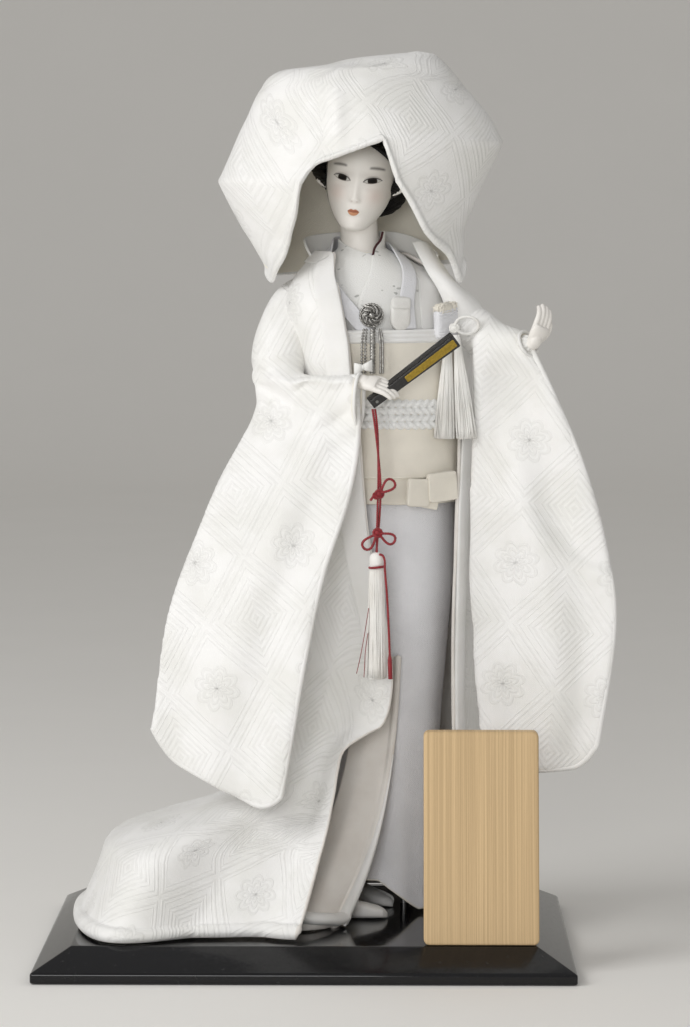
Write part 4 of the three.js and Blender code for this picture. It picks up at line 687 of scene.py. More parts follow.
def fused(obj, voxel, rounds):
    """Grows overlapping closed grids into one skin on a voxel grid, then relaxes it, and keeps the
    result."""
    grow = obj.modifiers.new("skin", "REMESH")
    grow.mode = "VOXEL"
    grow.voxel_size = voxel * MM
    relax = obj.modifiers.new("relax", "SMOOTH")
    relax.factor = 0.5
    relax.iterations = rounds
    bpy.context.view_layer.update()
    made = bpy.data.meshes.new_from_object(obj.evaluated_get(bpy.context.evaluated_depsgraph_get()))
    obj.modifiers.clear()
    materials = list(obj.data.materials)
    obj.data = made
    made.materials.clear()
    for material in materials:
        made.materials.append(material)
    shade_smooth(made)
    return obj


def vertex_arrays(mesh):
    """A mesh's points and normals as arrays."""
    points = np.zeros(len(mesh.vertices) * 3, np.float32)
    normals = np.zeros(len(mesh.vertices) * 3, np.float32)
    mesh.vertices.foreach_get("co", points)
    mesh.vertex_normals.foreach_get("vector", normals)
    return points.reshape(-1, 3).astype(float), normals.reshape(-1, 3).astype(float)


def corner_vertices(mesh):
    """The vertex of each face corner."""
    index = np.zeros(len(mesh.loops), np.int32)
    mesh.loops.foreach_get("vertex_index", index)
    return index


# Finishes made of nodes

def linear(red, green, blue):
    """Scene-linear colour of a screen colour given in 0 to 255."""
    value = np.array([red, green, blue]) / 255
    value = np.where(value <= 0.04045, value / 12.92, ((value + 0.055) / 1.055) ** 2.4)
    return tuple(float(v) for v in value)


class Finish:
    """A material under construction: short calls that add nodes and link them to its shader."""

    def __init__(self, name, colour, roughness, **sockets):
        self.material = bpy.data.materials.new(name)
        self.material.use_nodes = True
        self.tree = self.material.node_tree
        self.shader = self.tree.nodes["Principled BSDF"]
        self.set("Base Color", colour)
        self.set("Roughness", roughness)
        for socket, value in sockets.items():
            self.set(socket.replace("_", " "), value)

    def join(self, value, socket):
        """Links an output to a socket, or sets the socket to a plain value."""
        if isinstance(value, bpy.types.NodeSocket):
            self.tree.links.new(value, socket)
        elif socket.type == "RGBA":
            socket.default_value = (*value[:3], 1.0)
        else:
            socket.default_value = value

    def set(self, socket, value):
        """Sets or links one socket of the shader."""
        self.join(value, self.shader.inputs[socket])
        return self

    def node(self, kind, inputs=(), output=0, **settings):
        """Adds a node with its settings and inputs, and returns one of its outputs."""
        made = self.tree.nodes.new(kind)
        for name, value in settings.items():
            setattr(made, name, value)
        for name, value in dict(inputs).items():
            self.join(value, made.inputs[name])
        return made.outputs[output]

    def place(self, output="Object"):
        """Texture coordinates of the piece: Object or UV."""
        return self.node("ShaderNodeTexCoord", output=output)

    def math(self, operation, *values):
        """One arithmetic node."""
        return self.node("ShaderNodeMath", dict(enumerate(values)), operation=operation)

    def noise(self, scale, detail=3.0, where=None, stretch=None):
        """Fractal noise at a scale per metre, with stretched coordinates where given."""
        where = self.place() if where is None else where
        if stretch is not None:
            where = self.node("ShaderNodeMapping", {"Vector": where, "Scale": stretch})
        return self.node("ShaderNodeTexNoise", {"Vector": where, "Scale": scale, "Detail": detail})

    def ramp(self, value, low, high, to_low=0.0, to_high=1.0):
        """A smooth step of a value from low to high, onto the two given ends."""
        return self.node("ShaderNodeMapRange", {0: value, 1: low, 2: high, 3: to_low, 4: to_high},
                         interpolation_type="SMOOTHSTEP")

    def blend(self, share, a, b):
        """A colour between a and b."""
        return self.node("ShaderNodeMix", {0: share, 6: a, 7: b}, output=2, data_type="RGBA")

    def bump(self, height, distance, strength=1.0):
        """Relief of a height in metres."""
        self.set("Normal", self.node("ShaderNodeBump",
                                     {"Height": height, "Distance": distance, "Strength": strength}))
        return self


def weave(finish, where, pitch):
    """Threads of a plain weave: the product of two sine waves a pitch apart, in metres."""
    parts = finish.node("ShaderNodeSeparateXYZ", {0: where}).node
    rate = 2 * math.pi / pitch
    warp = finish.math("SINE", finish.math("MULTIPLY", parts.outputs[0], rate))
    weft = finish.math("SINE", finish.math("MULTIPLY", parts.outputs[1], rate))
    return finish.math("MULTIPLY", warp, weft)


def damask(finish, where, wide, tall):
    """Woven figure from 0 to 1: a slanted lattice of triple lines whose cells hold nested lozenges or
    flowers by turns."""
    m = finish.math
    parts = finish.node("ShaderNodeSeparateXYZ", {0: where}).node
    u, v = m("DIVIDE", parts.outputs[0], wide), m("DIVIDE", parts.outputs[1], tall)
    a, b = m("ADD", u, v), m("SUBTRACT", u, v)
    cell_a, cell_b = m("SUBTRACT", m("FRACT", a), 0.5), m("SUBTRACT", m("FRACT", b), 0.5)
    border = m("MAXIMUM", m("ABSOLUTE", cell_a), m("ABSOLUTE", cell_b))
    lines = finish.ramp(m("SINE", m("MULTIPLY", border, 2 * math.pi * 16)), -0.5, 0.7)
    lattice = m("MULTIPLY", lines, finish.ramp(border, 0.39, 0.40))
    lozenge = m("MULTIPLY", lines, finish.ramp(border, 0.33, 0.32))
    x, y = m("ADD", cell_a, cell_b), m("MULTIPLY", m("SUBTRACT", cell_a, cell_b), tall / wide)
    reach = m("SQRT", m("ADD", m("MULTIPLY", x, x), m("MULTIPLY", y, y)))
    angle = m("ARCTAN2", y, x)
    petal = m("MULTIPLY", m("ABSOLUTE", m("SINE", m("MULTIPLY", angle, 4))), 0.12)
    rings = m("SINE", m("MULTIPLY", m("SUBTRACT", reach, petal), 2 * math.pi * 7.5))
    flower = m("MULTIPLY", finish.ramp(rings, -0.3, 0.3),
               finish.ramp(m("SUBTRACT", reach, petal), 0.37, 0.36))
    turns = m("MODULO", m("ADD", m("ADD", m("FLOOR", a), m("FLOOR", b)), 1000), 2)
    figure = m("ADD", m("MULTIPLY", lozenge, m("LESS_THAN", turns, 0.5)),
               m("MULTIPLY", flower, m("GREATER_THAN", turns, 0.5)))
    return m("MAXIMUM", lattice, figure)


def silk(name, colour, other, roughness, sheen=0.25, crepe=0.0, figure=None, raised=0.42):
    """White silk: a faint change of tone, sheen, threads or crepe grain, and a woven figure where one is
    given."""
    finish = Finish(name, colour, roughness, Sheen_Weight=sheen, Sheen_Roughness=0.45,
                    Specular_IOR_Level=0.35)
    cloth = finish.place("UV")
    soft = finish.ramp(finish.noise(38, 4), 0.35, 0.68)
    tone = finish.blend(soft, colour, other)
    grain = finish.noise(1500 if crepe else 2600, 2)
    relief = finish.math("ADD", finish.math("MULTIPLY", grain, crepe or 0.25),
                         finish.math("MULTIPLY", weave(finish, cloth, 0.0011), 0.12))
    if figure:
        woven = damask(finish, cloth, *figure)
        tone = finish.blend(finish.math("MULTIPLY", woven, 0.12), tone, (0.56, 0.55, 0.52))
        finish.set("Roughness", finish.ramp(woven, 0, 1, roughness, roughness - 0.17))
        relief = finish.math("ADD", relief, finish.math("MULTIPLY", woven, raised))
    finish.set("Base Color", tone)
    return finish.bump(relief, 0.00035).material


def plain(name, colour, roughness, grain_scale, grain, shade=0.8, stretch=None, **sockets):
    """A finish with an uneven tone and a fine relief from noise."""
    finish = Finish(name, colour, roughness, **sockets)
    cloud = finish.noise(grain_scale, 4, stretch=stretch)
    dark = tuple(c * shade for c in colour)
    finish.set("Base Color", finish.blend(finish.ramp(cloud, 0.3, 0.7), dark, colour))
    finish.set("Roughness", finish.ramp(cloud, 0.2, 0.8, min(roughness * 1.25, 1.0), roughness * 0.85))
    return finish.bump(cloud, grain).material


def colour_setting(name, description, default):
    """A colour property, each part from 0 to 1."""
    return bpy.props.FloatVectorProperty(name=name, description=description, default=default,
                                         subtype="COLOR", size=3, min=0, max=1)


def length_setting(name, description, low, high, default):
    """A length property in metres."""
    return bpy.props.FloatProperty(name=name, description=description, unit="LENGTH", min=low, max=high,
                                   default=default)


def power_setting(name, description, default):
    """A light's power in watts."""
    return bpy.props.FloatProperty(name=name, description=description, subtype="POWER", min=0, max=500,
                                   default=default)


class DollCloth(bpy.types.PropertyGroup):
    """Colours and pattern sizes of the dress."""

    white: colour_setting("Robe white", "Colour of the outer robe, hood and sleeves",
                          linear(245, 244, 242))
    shade: colour_setting("Robe second tone", "Tone that the white drifts towards", linear(237, 236, 232))
    cool: colour_setting("Kimono white", "Colour of the inner kimono", linear(235, 235, 238))
    ivory: colour_setting("Obi ivory", "Colour of the wide sash", linear(241, 235, 222))
    lining: colour_setting("Lining", "Colour inside the hood and the robe", linear(252, 247, 234))
    red: colour_setting("Cord red", "Colour of the fan's cord", linear(150, 12, 28))
    figure_width: length_setting("Figure width", "Width of one lozenge of the woven figure", 0.01, 0.2,
                                 0.058)
    figure_height: length_setting("Figure height", "Height of one lozenge of the woven figure", 0.01, 0.2,
                                  0.070)
    wrinkle: length_setting("Wrinkle", "Height of the soft unevenness of the cloth", 0, 0.004, 0.0007)


class DollStand(bpy.types.PropertyGroup):
    """Colours of the board, the name board, the hair and the face."""

    lacquer: colour_setting("Lacquer", "Colour of the board's black lacquer", (0.006, 0.006, 0.007))
    wood: colour_setting("Wood", "Colour of the bare name board", linear(205, 178, 138))
    hair: colour_setting("Hair", "Colour of the wig", (0.0035, 0.003, 0.0028))
    shell: colour_setting("Shell white", "Colour of the face and the hands", linear(240, 236, 230))


class DollStage(bpy.types.PropertyGroup):
    """Light and floor."""

    key: power_setting("Key light", "Power of the large light from the upper left", 19.0)
    fill: power_setting("Fill light", "Power of the soft light from the right", 1.0)
    front: power_setting("Front light", "Power of the soft light beside the camera", 9.0)
    room: bpy.props.FloatProperty(
        name="Room light", description="Strength of the even light from all sides", default=0.38,
        min=0, max=3)
    floor: colour_setting("Floor", "Colour of the pale floor", linear(246, 244, 240))


FINISHES = {}


def make_finishes(cloth, stand):
    """Makes each finish once and keeps it by name."""
    size = (cloth.figure_width, cloth.figure_height)
    white, shade, cool = tuple(cloth.white), tuple(cloth.shade), tuple(cloth.cool)
    ivory, lining, red = tuple(cloth.ivory), tuple(cloth.lining), tuple(cloth.red)
    made = FINISHES
    made["damask"] = silk("damask silk", white, shade, 0.52, figure=size)
    made["lining"] = silk("lining silk", lining, tuple(c * 0.93 for c in lining), 0.6)
    made["robe_lining"] = silk("robe lining", linear(238, 234, 228), linear(228, 222, 215), 0.6)
    made["white"] = silk("white silk", linear(243, 242, 240), shade, 0.5)
    made["crepe"] = silk("crepe silk", cool, tuple(c * 0.94 for c in cool), 0.6, crepe=0.9)
    made["ivory"] = silk("ivory silk", ivory, tuple(c * 0.9 for c in ivory), 0.55, crepe=0.35)
    made["lattice"] = silk("lattice silk", linear(238, 236, 231), shade, 0.5, figure=(0.0085, 0.0095),
                           raised=0.15)
    made["thread"] = silk("silk thread", linear(246, 245, 241), linear(234, 231, 225), 0.5)
    made["braid"] = plain("silver braid", linear(250, 250, 248), 0.4, 900, 0.0002, shade=0.88,
                          Sheen_Weight=0.4)
    made["red"] = plain("red silk cord", red, 0.5, 900, 0.0003, shade=0.6, Sheen_Weight=0.3)
    made["wadding"] = plain("cotton wadding", linear(232, 228, 218), 0.95, 260, 0.001)
    made["straw"] = plain("straw core", linear(185, 162, 115), 0.85, 420, 0.001, shade=0.65,
                          stretch=(4, 4, 0.2))
    made["steel"] = plain("steel", linear(154, 154, 152), 0.35, 700, 0.0001, Metallic=1.0)
    made["silver"] = plain("silver", linear(186, 184, 180), 0.32, 520, 0.0003, shade=0.55, Metallic=1.0)
    made["brass"] = plain("gold leaf", linear(190, 160, 70), 0.38, 800, 0.0001, shade=0.75, Metallic=0.85)
    made["fan"] = plain("fan lacquer", (0.012, 0.011, 0.011), 0.28, 300, 0.0001, Coat_Weight=0.5)
    made["leaf"] = plain("fan paper", (0.03, 0.028, 0.026), 0.5, 700, 0.0002)
    made["leafy"] = leafy_finish(linear(241, 241, 239), shade)
    made["maroon"] = plain("dark silk edge", linear(70, 28, 34), 0.6, 900, 0.0002)
    made["lacquer"] = lacquer_finish(tuple(stand.lacquer))
    made["wood"] = wood_finish(tuple(stand.wood))
    made["hair"] = hair_finish(tuple(stand.hair))
    made["shell"] = shell_finish(tuple(stand.shell), False)
    made["face"] = shell_finish(tuple(stand.shell), True)


def leafy_finish(colour, shade):
    """White silk with small grey leaves: cells drawn out one way, each with a leaf at its middle."""
    finish = Finish("embroidered silk", colour, 0.5, Sheen_Weight=0.25)
    where = finish.node("ShaderNodeMapping", {"Vector": finish.place("UV"), "Scale": (1.0, 1.9, 1.0),
                                              "Rotation": (0.0, 0.0, 0.6)})
    cells = finish.node("ShaderNodeTexVoronoi", {"Vector": where, "Scale": 150.0})
    leaf = finish.math("MULTIPLY", finish.ramp(cells, 0.26, 0.19),
                       finish.ramp(finish.noise(90, 2), 0.47, 0.53))
    tone = finish.blend(finish.noise(40, 3), shade, colour)
    finish.set("Base Color",
               finish.blend(finish.math("MULTIPLY", leaf, 0.6), tone, linear(150, 153, 146)))
    return finish.bump(finish.math("ADD", leaf, finish.noise(2400, 2)), 0.0003).material


def lacquer_finish(colour):
    """Polished black lacquer with faint dust and polishing marks in its gloss."""
    finish = Finish("black lacquer", colour, 0.1, Coat_Weight=0.15, Coat_Roughness=0.05,
                    Specular_IOR_Level=0.3)
    dust = finish.noise(420, 6)
    finish.set("Roughness", finish.ramp(dust, 0.35, 0.8, 0.08, 0.2))
    finish.set("Base Color", finish.blend(finish.ramp(dust, 0.62, 0.8), colour, (0.03, 0.03, 0.03)))
    return finish.bump(finish.noise(30, 2), 0.00006, 0.4).material


def wood_finish(colour):
    """Pale straight-grained wood: noise drawn out along the height, as colour bands, pores and relief."""
    finish = Finish("pale wood", colour, 0.58, Specular_IOR_Level=0.3)
    bands = finish.noise(900, 2, stretch=(1, 0.012, 0.003))
    pores = finish.noise(2200, 1, stretch=(1, 0.01, 0.004))
    cloud = finish.noise(26, 2, stretch=(1, 1, 0.4))
    dark = tuple(c * k for c, k in zip(colour, (0.88, 0.85, 0.80)))
    light = tuple(min(c * k, 1) for c, k in zip(colour, (1.1, 1.08, 1.04)))
    tone = finish.blend(finish.ramp(bands, 0.38, 0.64), dark, light)
    tone = finish.blend(finish.math("MULTIPLY", finish.ramp(pores, 0.58, 0.75), 0.45), tone, dark)
    finish.set("Base Color", finish.blend(finish.math("MULTIPLY", cloud, 0.3), tone, colour))
    return finish.bump(finish.math("ADD", bands, pores), 0.0002).material


def hair_finish(colour):
    """Combed black hair: streaks drawn along the strands, with a soft long gloss."""
    finish = Finish("combed hair", colour, 0.5, Specular_IOR_Level=0.22, Anisotropic=0.5)
    strands = finish.noise(1, 3, where=finish.node(
        "ShaderNodeMapping", {"Vector": finish.place("UV"), "Scale": (2600, 60, 1)}))
    finish.set("Base Color", finish.blend(strands, colour, tuple(c * 1.8 for c in colour)))
    finish.set("Roughness", finish.ramp(strands, 0.2, 0.8, 0.56, 0.4))
    return finish.bump(strands, 0.0004).material


def shell_finish(colour, painted):
    """Powdered shell white with a dull soft gloss; on the face the paint lies over it by its strength."""
    finish = Finish("painted face" if painted else "shell white", colour, 0.45, Specular_IOR_Level=0.38)
    cloud = finish.noise(160, 4)
    tone = finish.blend(cloud, tuple(c * 0.965 for c in colour), colour)
    if painted:
        layer = finish.node("ShaderNodeVertexColor", layer_name="paint").node
        tone = finish.blend(layer.outputs["Alpha"], tone, layer.outputs["Color"])
    finish.set("Base Color", tone)
    return finish.bump(finish.noise(1400, 3), 0.00008).material


# The board and the name board

def rounded_ring(half_x, half_y, corner, each=10):
    """A rectangle's outline with round corners, from its right side's middle, once round and closed."""
    turn = np.linspace(0, np.pi / 2, each)
    arc = np.stack([np.cos(turn), np.sin(turn)], -1) * corner
    spots = [(half_x, half_y), (-half_x, half_y), (-half_x, -half_y), (half_x, -half_y)]
    parts = []
    spin = np.array([[0, 1], [-1, 0]])
    for quarter, (x, y) in enumerate(spots):
        ring = arc @ np.linalg.matrix_power(spin, quarter)
        parts.append(ring + [x - math.copysign(corner, x), y - math.copysign(corner, y)])
    ring = np.concatenate(parts)
    middle = np.array([[half_x, 0.0]])
    return np.concatenate([middle, ring, middle])


def make_board():
    """The board: one outline carried through a profile of inset and height, from the rod's bore round to
    its recess."""
    half_x, half_y, corner = 150.0, 112.5, 1.2
    profile = [
        (24, 17), (21.6, 17), (21.1, 16.98), (20.4, 16.7), (19.8, 16.35), (19.2, 16.0), (1.6, 6.45),
        (1.0, 6.05), (0.3, 5.5), (0.05, 5.0), (0, 4.4), (0, 1.2), (0.1, 0.6), (0.4, 0.2), (0.9, 0),
        (2, 0),
    ]
    rows = []
    for inset, z in profile:
        ring = rounded_ring(half_x - inset, half_y - inset, corner)
        rows.append(np.column_stack([ring, np.full(len(ring), z)]))
    centre = np.array([56.0, 34.0])
    way = unit(rows[0][:, :2] - centre)
    circle = lambda r, z: np.column_stack([centre + way * r, np.full(len(way), float(z))])
    bore = [circle(2.9, 15), circle(2.9, 16.7), circle(3.1, 17), circle(3.6, 17)]
    recess = [
        circle(8.2, 0), circle(7.7, 0), circle(7.4, 0.3), circle(7.4, 8.7), circle(7.1, 9),
        circle(3.2, 9), circle(2.9, 9.3), circle(2.9, 15),
    ]
    patch = Patchwork().add(np.stack(bore + rows + recess))
    piece("board_lacquered", patch, ["lacquer"], "doll", "lacquer", ["display_board"], up=0)


def make_name_board():
    """The name board: a round-cornered outline carried from back to front with softened edges, leaning
    back."""
    wide, high, thick = 64.0, 115.6, 9.2
    middle, front, lean = 98.0, -91.0, math.tan(math.radians(12))
    profile = [(12, 0), (1.6, 0), (0.9, 0.08), (0.35, 0.4), (0.06, 0.95), (0, 1.7), (0, thick - 1.7),
               (0.06, thick - 0.95), (0.35, thick - 0.4), (0.9, thick - 0.08), (1.6, thick), (12, thick)]
    rows = []
    for inset, y in profile:
        ring = rounded_ring(wide / 2 - inset, high / 2 - inset, max(3.2 - inset, 0.4))
        z = ring[:, 1] + high / 2 + CLEAR
        rows.append(np.column_stack([ring[:, 0] + middle, front + y + z * lean, z]))
    patch = Patchwork().capped(np.stack(rows))
    piece("name_board_wood", patch, ["wood"], "name_board", "wood", ["name_board"])


def finish_inner_solids():
    """Inner solids that only show from below or behind keep their shapes and get the finish of their
    stuff."""
    stuffs = {
        "steel": ("stand_rod", "rod_washer", "rod_nut", "wrist_wire_right", "wrist_wire_left", "fan_pin"),
        "straw": ("leg_core", "torso_core", "arm_right", "arm_left"),
        "wood": ("name_board_strut", "neck_peg"),
        "leaf": ("fan_ribs",),
    }
    for key, names in stuffs.items():
        for name in names:
            mesh = NODES[name].data
            mesh.materials.clear()
            mesh.materials.append(FINISHES[key])


# Feet, hands and head

def make_feet():
    """Socked feet: half-round sections along the foot, with a cleft beside the great toe pressed into the
    front."""
    for name, (x, y, turn) in (("foot_right", (46, -12, 4)), ("foot_left", (49, 19, -36))):
        u = np.concatenate([np.linspace(0, 0.1, 14), np.linspace(0.12, 1, 40)])
        wide, high = columns(FOOT_FORM, u)
        ring = full_turn(49)[None, :]
        c, s = np.cos(ring), np.sin(ring)
        across = FOOT["half"] * wide[:, None] * bent(c, 0.8)
        top = FOOT["high"] * high[:, None] * (0.5 + 0.5 * bent(s, 0.7))
        cleft = near(across, 2.2, 0.75) * (1 - ease(u, 0.2, 0.34))[:, None]
        along = -FOOT["long"] * u[:, None] - 5.5 * cleft * (1 - ease(u, 0, 0.16))[:, None]
        points = np.stack([along, across, top * (1 - 0.55 * cleft)], -1) @ turning(z=turn) + [x, y, CLEAR]
        piece(name + "_sock", Patchwork().capped(points), ["white"], "doll", "white_silk", [name])


def hand_grids(curl, thumb, spread):
    """A hand reaching along X with its palm down: a palm of ellipses, and fingers bent by equal turns at
    each joint."""
    palm_rows = smooth_rows([
        [0, 3.0, 3.0], [3, 3.3, 2.8], [6.6, 4.6, 2.7], [10, 4.8, 2.3], [PALM, 4.0, 1.6],
    ], np.linspace(0, PALM, 18))
    turn = full_turn(25)[None, :]
    x = np.linspace(0, PALM, 18)[:, None] * np.ones_like(turn)
    grids = [np.stack([x, palm_rows[:, :1] * np.cos(turn), palm_rows[:, 1:] * np.sin(turn)], -1)]
    for i, k in enumerate((-1, -1 / 3, 1 / 3, 1)):
        length, y, angle = 12.5 * (1 - 0.16 * abs(k - 0.2)), k * 4.6 * 0.74, 0.0
        path = [[8.0, y, 0.0]]
        for j, share in enumerate((0.42, 0.32, 0.26)):
            angle += math.radians(curl * (1 + 0.12 * i))
            run = share * length + (3.0 if j == 0 else 0)
            path.append([path[-1][0] + run * math.cos(angle), y * (1 + spread * (j + 1)),
                         path[-1][2] - run * math.sin(angle)])
        grids.append(sweep(curve(path, 22), rounded_ends(22, [1.42, 1.36, 1.25, 1.0]), 12))
    path = [[3.5, thumb * 2.3, -0.5], [7, thumb * 5.3, -1.6], [11, thumb * 6.0, -2.6],
            [14.5, thumb * 4.8, -3.4]]
    grids.append(sweep(curve(path, 20), rounded_ends(20, [1.75, 1.7, 1.5, 1.1]), 12))
    grids.append(pillow((3.8, 3.0, 1.8)) + [3.6, 0, 1.9])
    return grids


def rounded_ends(count, radii):
    """Radii along a limb, read between the given ones and rounded off at the far end."""
    t = np.linspace(0, 1, count)
    return even_rows(radii, t)[:, 0] * np.sqrt(np.clip(1 - np.maximum((t - 0.9) / 0.1, 0) ** 2, 0.01, 1))


def make_hands():
    """Both hands: palm, fingers and thumb fused into one skin and set on the wrists."""
    for side, wrist, point, back, curl, thumb, spread in (
        ("right", (28.0, -22.2, 308.6), (0.88, -0.47, -0.04), (0.12, -0.66, 0.74), 17, 1, 0.05),
        ("left", (126.3, -12.7, 328.2), (0.52, -0.2, 0.83), (0.5, -0.8, -0.2), 19, -1, -0.1),
    ):
        x = unit(np.array(point))
        z = unit(np.array(back) - x * (np.array(back) @ x))
        basis = np.stack([x, np.cross(z, x), z])
        patch = Patchwork()
        for grid in hand_grids(curl, thumb, spread):
            patch.capped(HAND_SCALE * grid @ basis + np.array(wrist))
        obj = piece("hand_skin_" + side, patch, ["shell"], side + "_hand", "shell_white",
                    ["hand_" + side])
        fused(obj, HAND_VOXEL, rounds=6)


def eye_paint(x, z, side):
    """Strengths of the white, iris, lash line and lid crease of one eye, from lid curves over its tilted axis; the
    crease is painted shade of the lid's fold."""
    tilt = math.radians(EYE["tilt"]) * side
    across, up = x - side * EYE["x"], z - EYE["z"]
    u = (across * math.cos(tilt) + up * math.sin(tilt)) / EYE["half"]
    v = -across * math.sin(tilt) + up * math.cos(tilt)
    arch = np.clip(1 - u * u, 0, 1)
    upper, lower = 1.8 * arch**0.75, -1.35 * arch**0.9
    inside = (np.abs(u) < 1) * ease(upper - v, -0.15, 0.2) * ease(v - lower, -0.15, 0.2)
    iris = ease(2.7 - np.hypot((u + 0.02 * side) * EYE["half"], v - 0.1), -0.2, 0.25) * inside
    lash = near(v, upper, 0.32 + 0.2 * arch) * (np.abs(u) < 1.06)
    low_line = 0.45 * near(v, lower, 0.2) * (np.abs(u) < 0.98)
    # Painted shade: a faint brown line where the upper lid folds.
    crease = 0.28 * near(v, 2.55 * arch**0.6 + 0.25, 0.28) * (np.abs(u) < 0.95)
    return inside, iris, lash, low_line, crease, u, v


def face_paint(x, z, front):
    """Paint of the face as colour and strength: each layer is laid over the ones before it by its own strength. A
    brown band over the upper lids, the lid creases and the nostril marks are painted shade."""
    colour = np.zeros(x.shape + (3,)) + linear(236, 231, 224)
    cover = np.zeros_like(x)

    def lay(tone, strength):
        nonlocal colour, cover
        strength = np.clip(strength * front, 0, 1)
        total = cover + strength * (1 - cover)
        share = np.where(total > 1e-6, strength / np.maximum(total, 1e-6), 0)
        colour = mix(colour, np.array(linear(*tone)), share[..., None])
        cover = total

    lay((226, 178, 160), 0.22 * near(np.abs(x), 11, 5) * near(z, -9, 5))
    # Painted shade: a soft brown band over the upper lids, where the brows shade the eye sockets.
    lay((120, 96, 80), 0.18 * near(np.abs(x), EYE["x"], 6) * near(z, 2.3, 1.8))
    for side in (-1, 1):
        white, iris, lash, low_line, crease, u, v = eye_paint(x, z, side)
        lay((214, 212, 206), white)
        lay((34, 26, 20), iris)
        lay((8, 7, 7), iris * ease(1.35 - np.hypot(u * EYE["half"], v - 0.1), -0.2, 0.2))
        # Painted shade along each lid crease.
        lay((92, 70, 56), crease)
        lay((110, 84, 70), low_line)
        lay((26, 20, 18), lash)
        b = (side * x - 10.7) / 4.9
        line = 6.3 + 0.6 * (1 - b * b) - 0.25 * b
        hairs = 0.85 + 0.15 * np.sin(x * 9 + z * 4)
        stroke = near(z, line, 0.82 - 0.25 * np.abs(b)) * ease(1.0 - np.abs(b), 0, 0.35)
        lay((50, 38, 33), 0.95 * hairs * stroke)
    lip = np.clip(1 - (x / 3.35) ** 2, 0, 1)
    top = MOUTH + 1.75 * lip**0.8 - 0.55 * near(x, 0, 0.9)
    base = MOUTH - 2.5 * lip**0.7
    lay((196, 128, 78), 0.9 * ease(z - base, -0.25, 0.35) * ease(MOUTH + 0.05 - z, -0.2, 0.2) * (lip > 0))
    lay((172, 98, 58), 0.95 * ease(top - z, -0.25, 0.3) * ease(z - MOUTH + 0.05, -0.2, 0.2) * (lip > 0))
    lay((112, 52, 36), 0.85 * near(z, MOUTH - 0.18 * near(x, 0, 1.2), 0.24) * ease(lip, 0, 0.25))
    # Painted shade: two small brownish marks under the nose tip stand for the shaded nostrils.
    lay((150, 112, 94), 0.3 * near(np.abs(x), 1.5, 0.6) * near(z, -13.0, 0.45))
    return np.concatenate([colour, cover[..., None]], -1)


def make_head():
    """The head: ellipses by height, with nose, lips, lids, cheeks and chin as bells added to the front;
    and the neck."""
    z = np.concatenate([np.linspace(-28, -22.5, 16), np.linspace(-22.3, 8.4, 150),
                        np.linspace(9, 28, 30)])[:, None]
    turn = np.concatenate([np.linspace(-70, 70, 225), np.linspace(75, 285, 43)])[None, :]
    wide, middle, deep = columns(SKULL, z[:, 0])[..., None]
    t = np.radians(turn)
    x = wide * np.sin(t)
    y = middle - deep * np.cos(t)
    front = ease(np.cos(t), 0.15, 0.45) * np.ones_like(z)
    f = z - FACE_RAISE
    bridge = smooth_rows([
        [-14.4, 0, 2.6], [-13, 1.2, 2.7], [-11.2, 2.0, 2.6], [-8, 1.5, 2.3], [-2, 0.8, 2.4],
        [5, 0.2, 2.8], [9, 0, 3],
    ], f[:, 0])
    nose = bridge[:, :1] * near(x, 0, bridge[:, 1:])
    nose = nose + 0.45 * near(np.abs(x), 2.0, 1.1) * near(f, -12.2, 1.2)
    lips = 0.6 * near(f, MOUTH + 1, 0.85) * near(x, 0, 2.7)
    lips = lips + 0.7 * near(f, MOUTH - 1.2, 1.0) * near(x, 0, 2.5)
    lips = lips - 0.3 * near(f, MOUTH, 0.4) * near(x, 0, 2.9)
    lips = lips + 0.5 * near(f, MOUTH + 0.1, 3.2) * near(x, 0, 5)
    chin = 0.9 * near(z, -25, 2.2) * near(x, 0, 4.5) - 0.4 * near(f, -22.4, 1.1) * near(x, 0, 4)
    socket = -1.1 * near(np.abs(x), 8.2, 4.6) * near(f, 1.2, 3.4)
    socket = socket - 0.4 * near(np.abs(x), 8.5, 5) * near(f, -4.6, 1.6)
    ball = 0.0 * z
    for side in (-1, 1):
        inside, iris, lash = eye_paint(x, f, side)[:3]
        ball = ball - 0.42 * inside + 0.25 * iris + 0.22 * lash
    cheek = 0.5 * near(np.abs(x), 10.5, 5) * near(f, -9, 6)
    y = y - front * (nose + lips + chin + socket + ball + cheek)
    points = np.stack(np.broadcast_arrays(x, y, z), -1)
    paint = face_paint(points[..., 0], points[..., 2] - FACE_RAISE, front)
    patch = Patchwork().capped(in_head(points), paint=paint)
    neck = curve([[30, 25.5, 379], [29.6, 25, 390], [28.6, 23.5, 402], [28, 22.5, 411]], 24)
    patch.capped(sweep(neck, 10.8 + 1.6 * (1 - ease(np.linspace(0, 1, 24), 0, 0.5)), 40))
    for side in (-1, 1):
        ear = pillow((3.8, 1.6, 1.4), (0.8, 0.9))
        ear[..., 1] += 0.7 * near(ear[..., 0], side * 1.0, 2.0) * near(ear[..., 1], -1.7, 1.2)
        patch.add(in_head(ear @ turning(y=-28 * side) + [side * 21.6, -1.0, -4.6]))
    piece("head_painted", patch, ["face"], "head", "shell_white", ["head"])


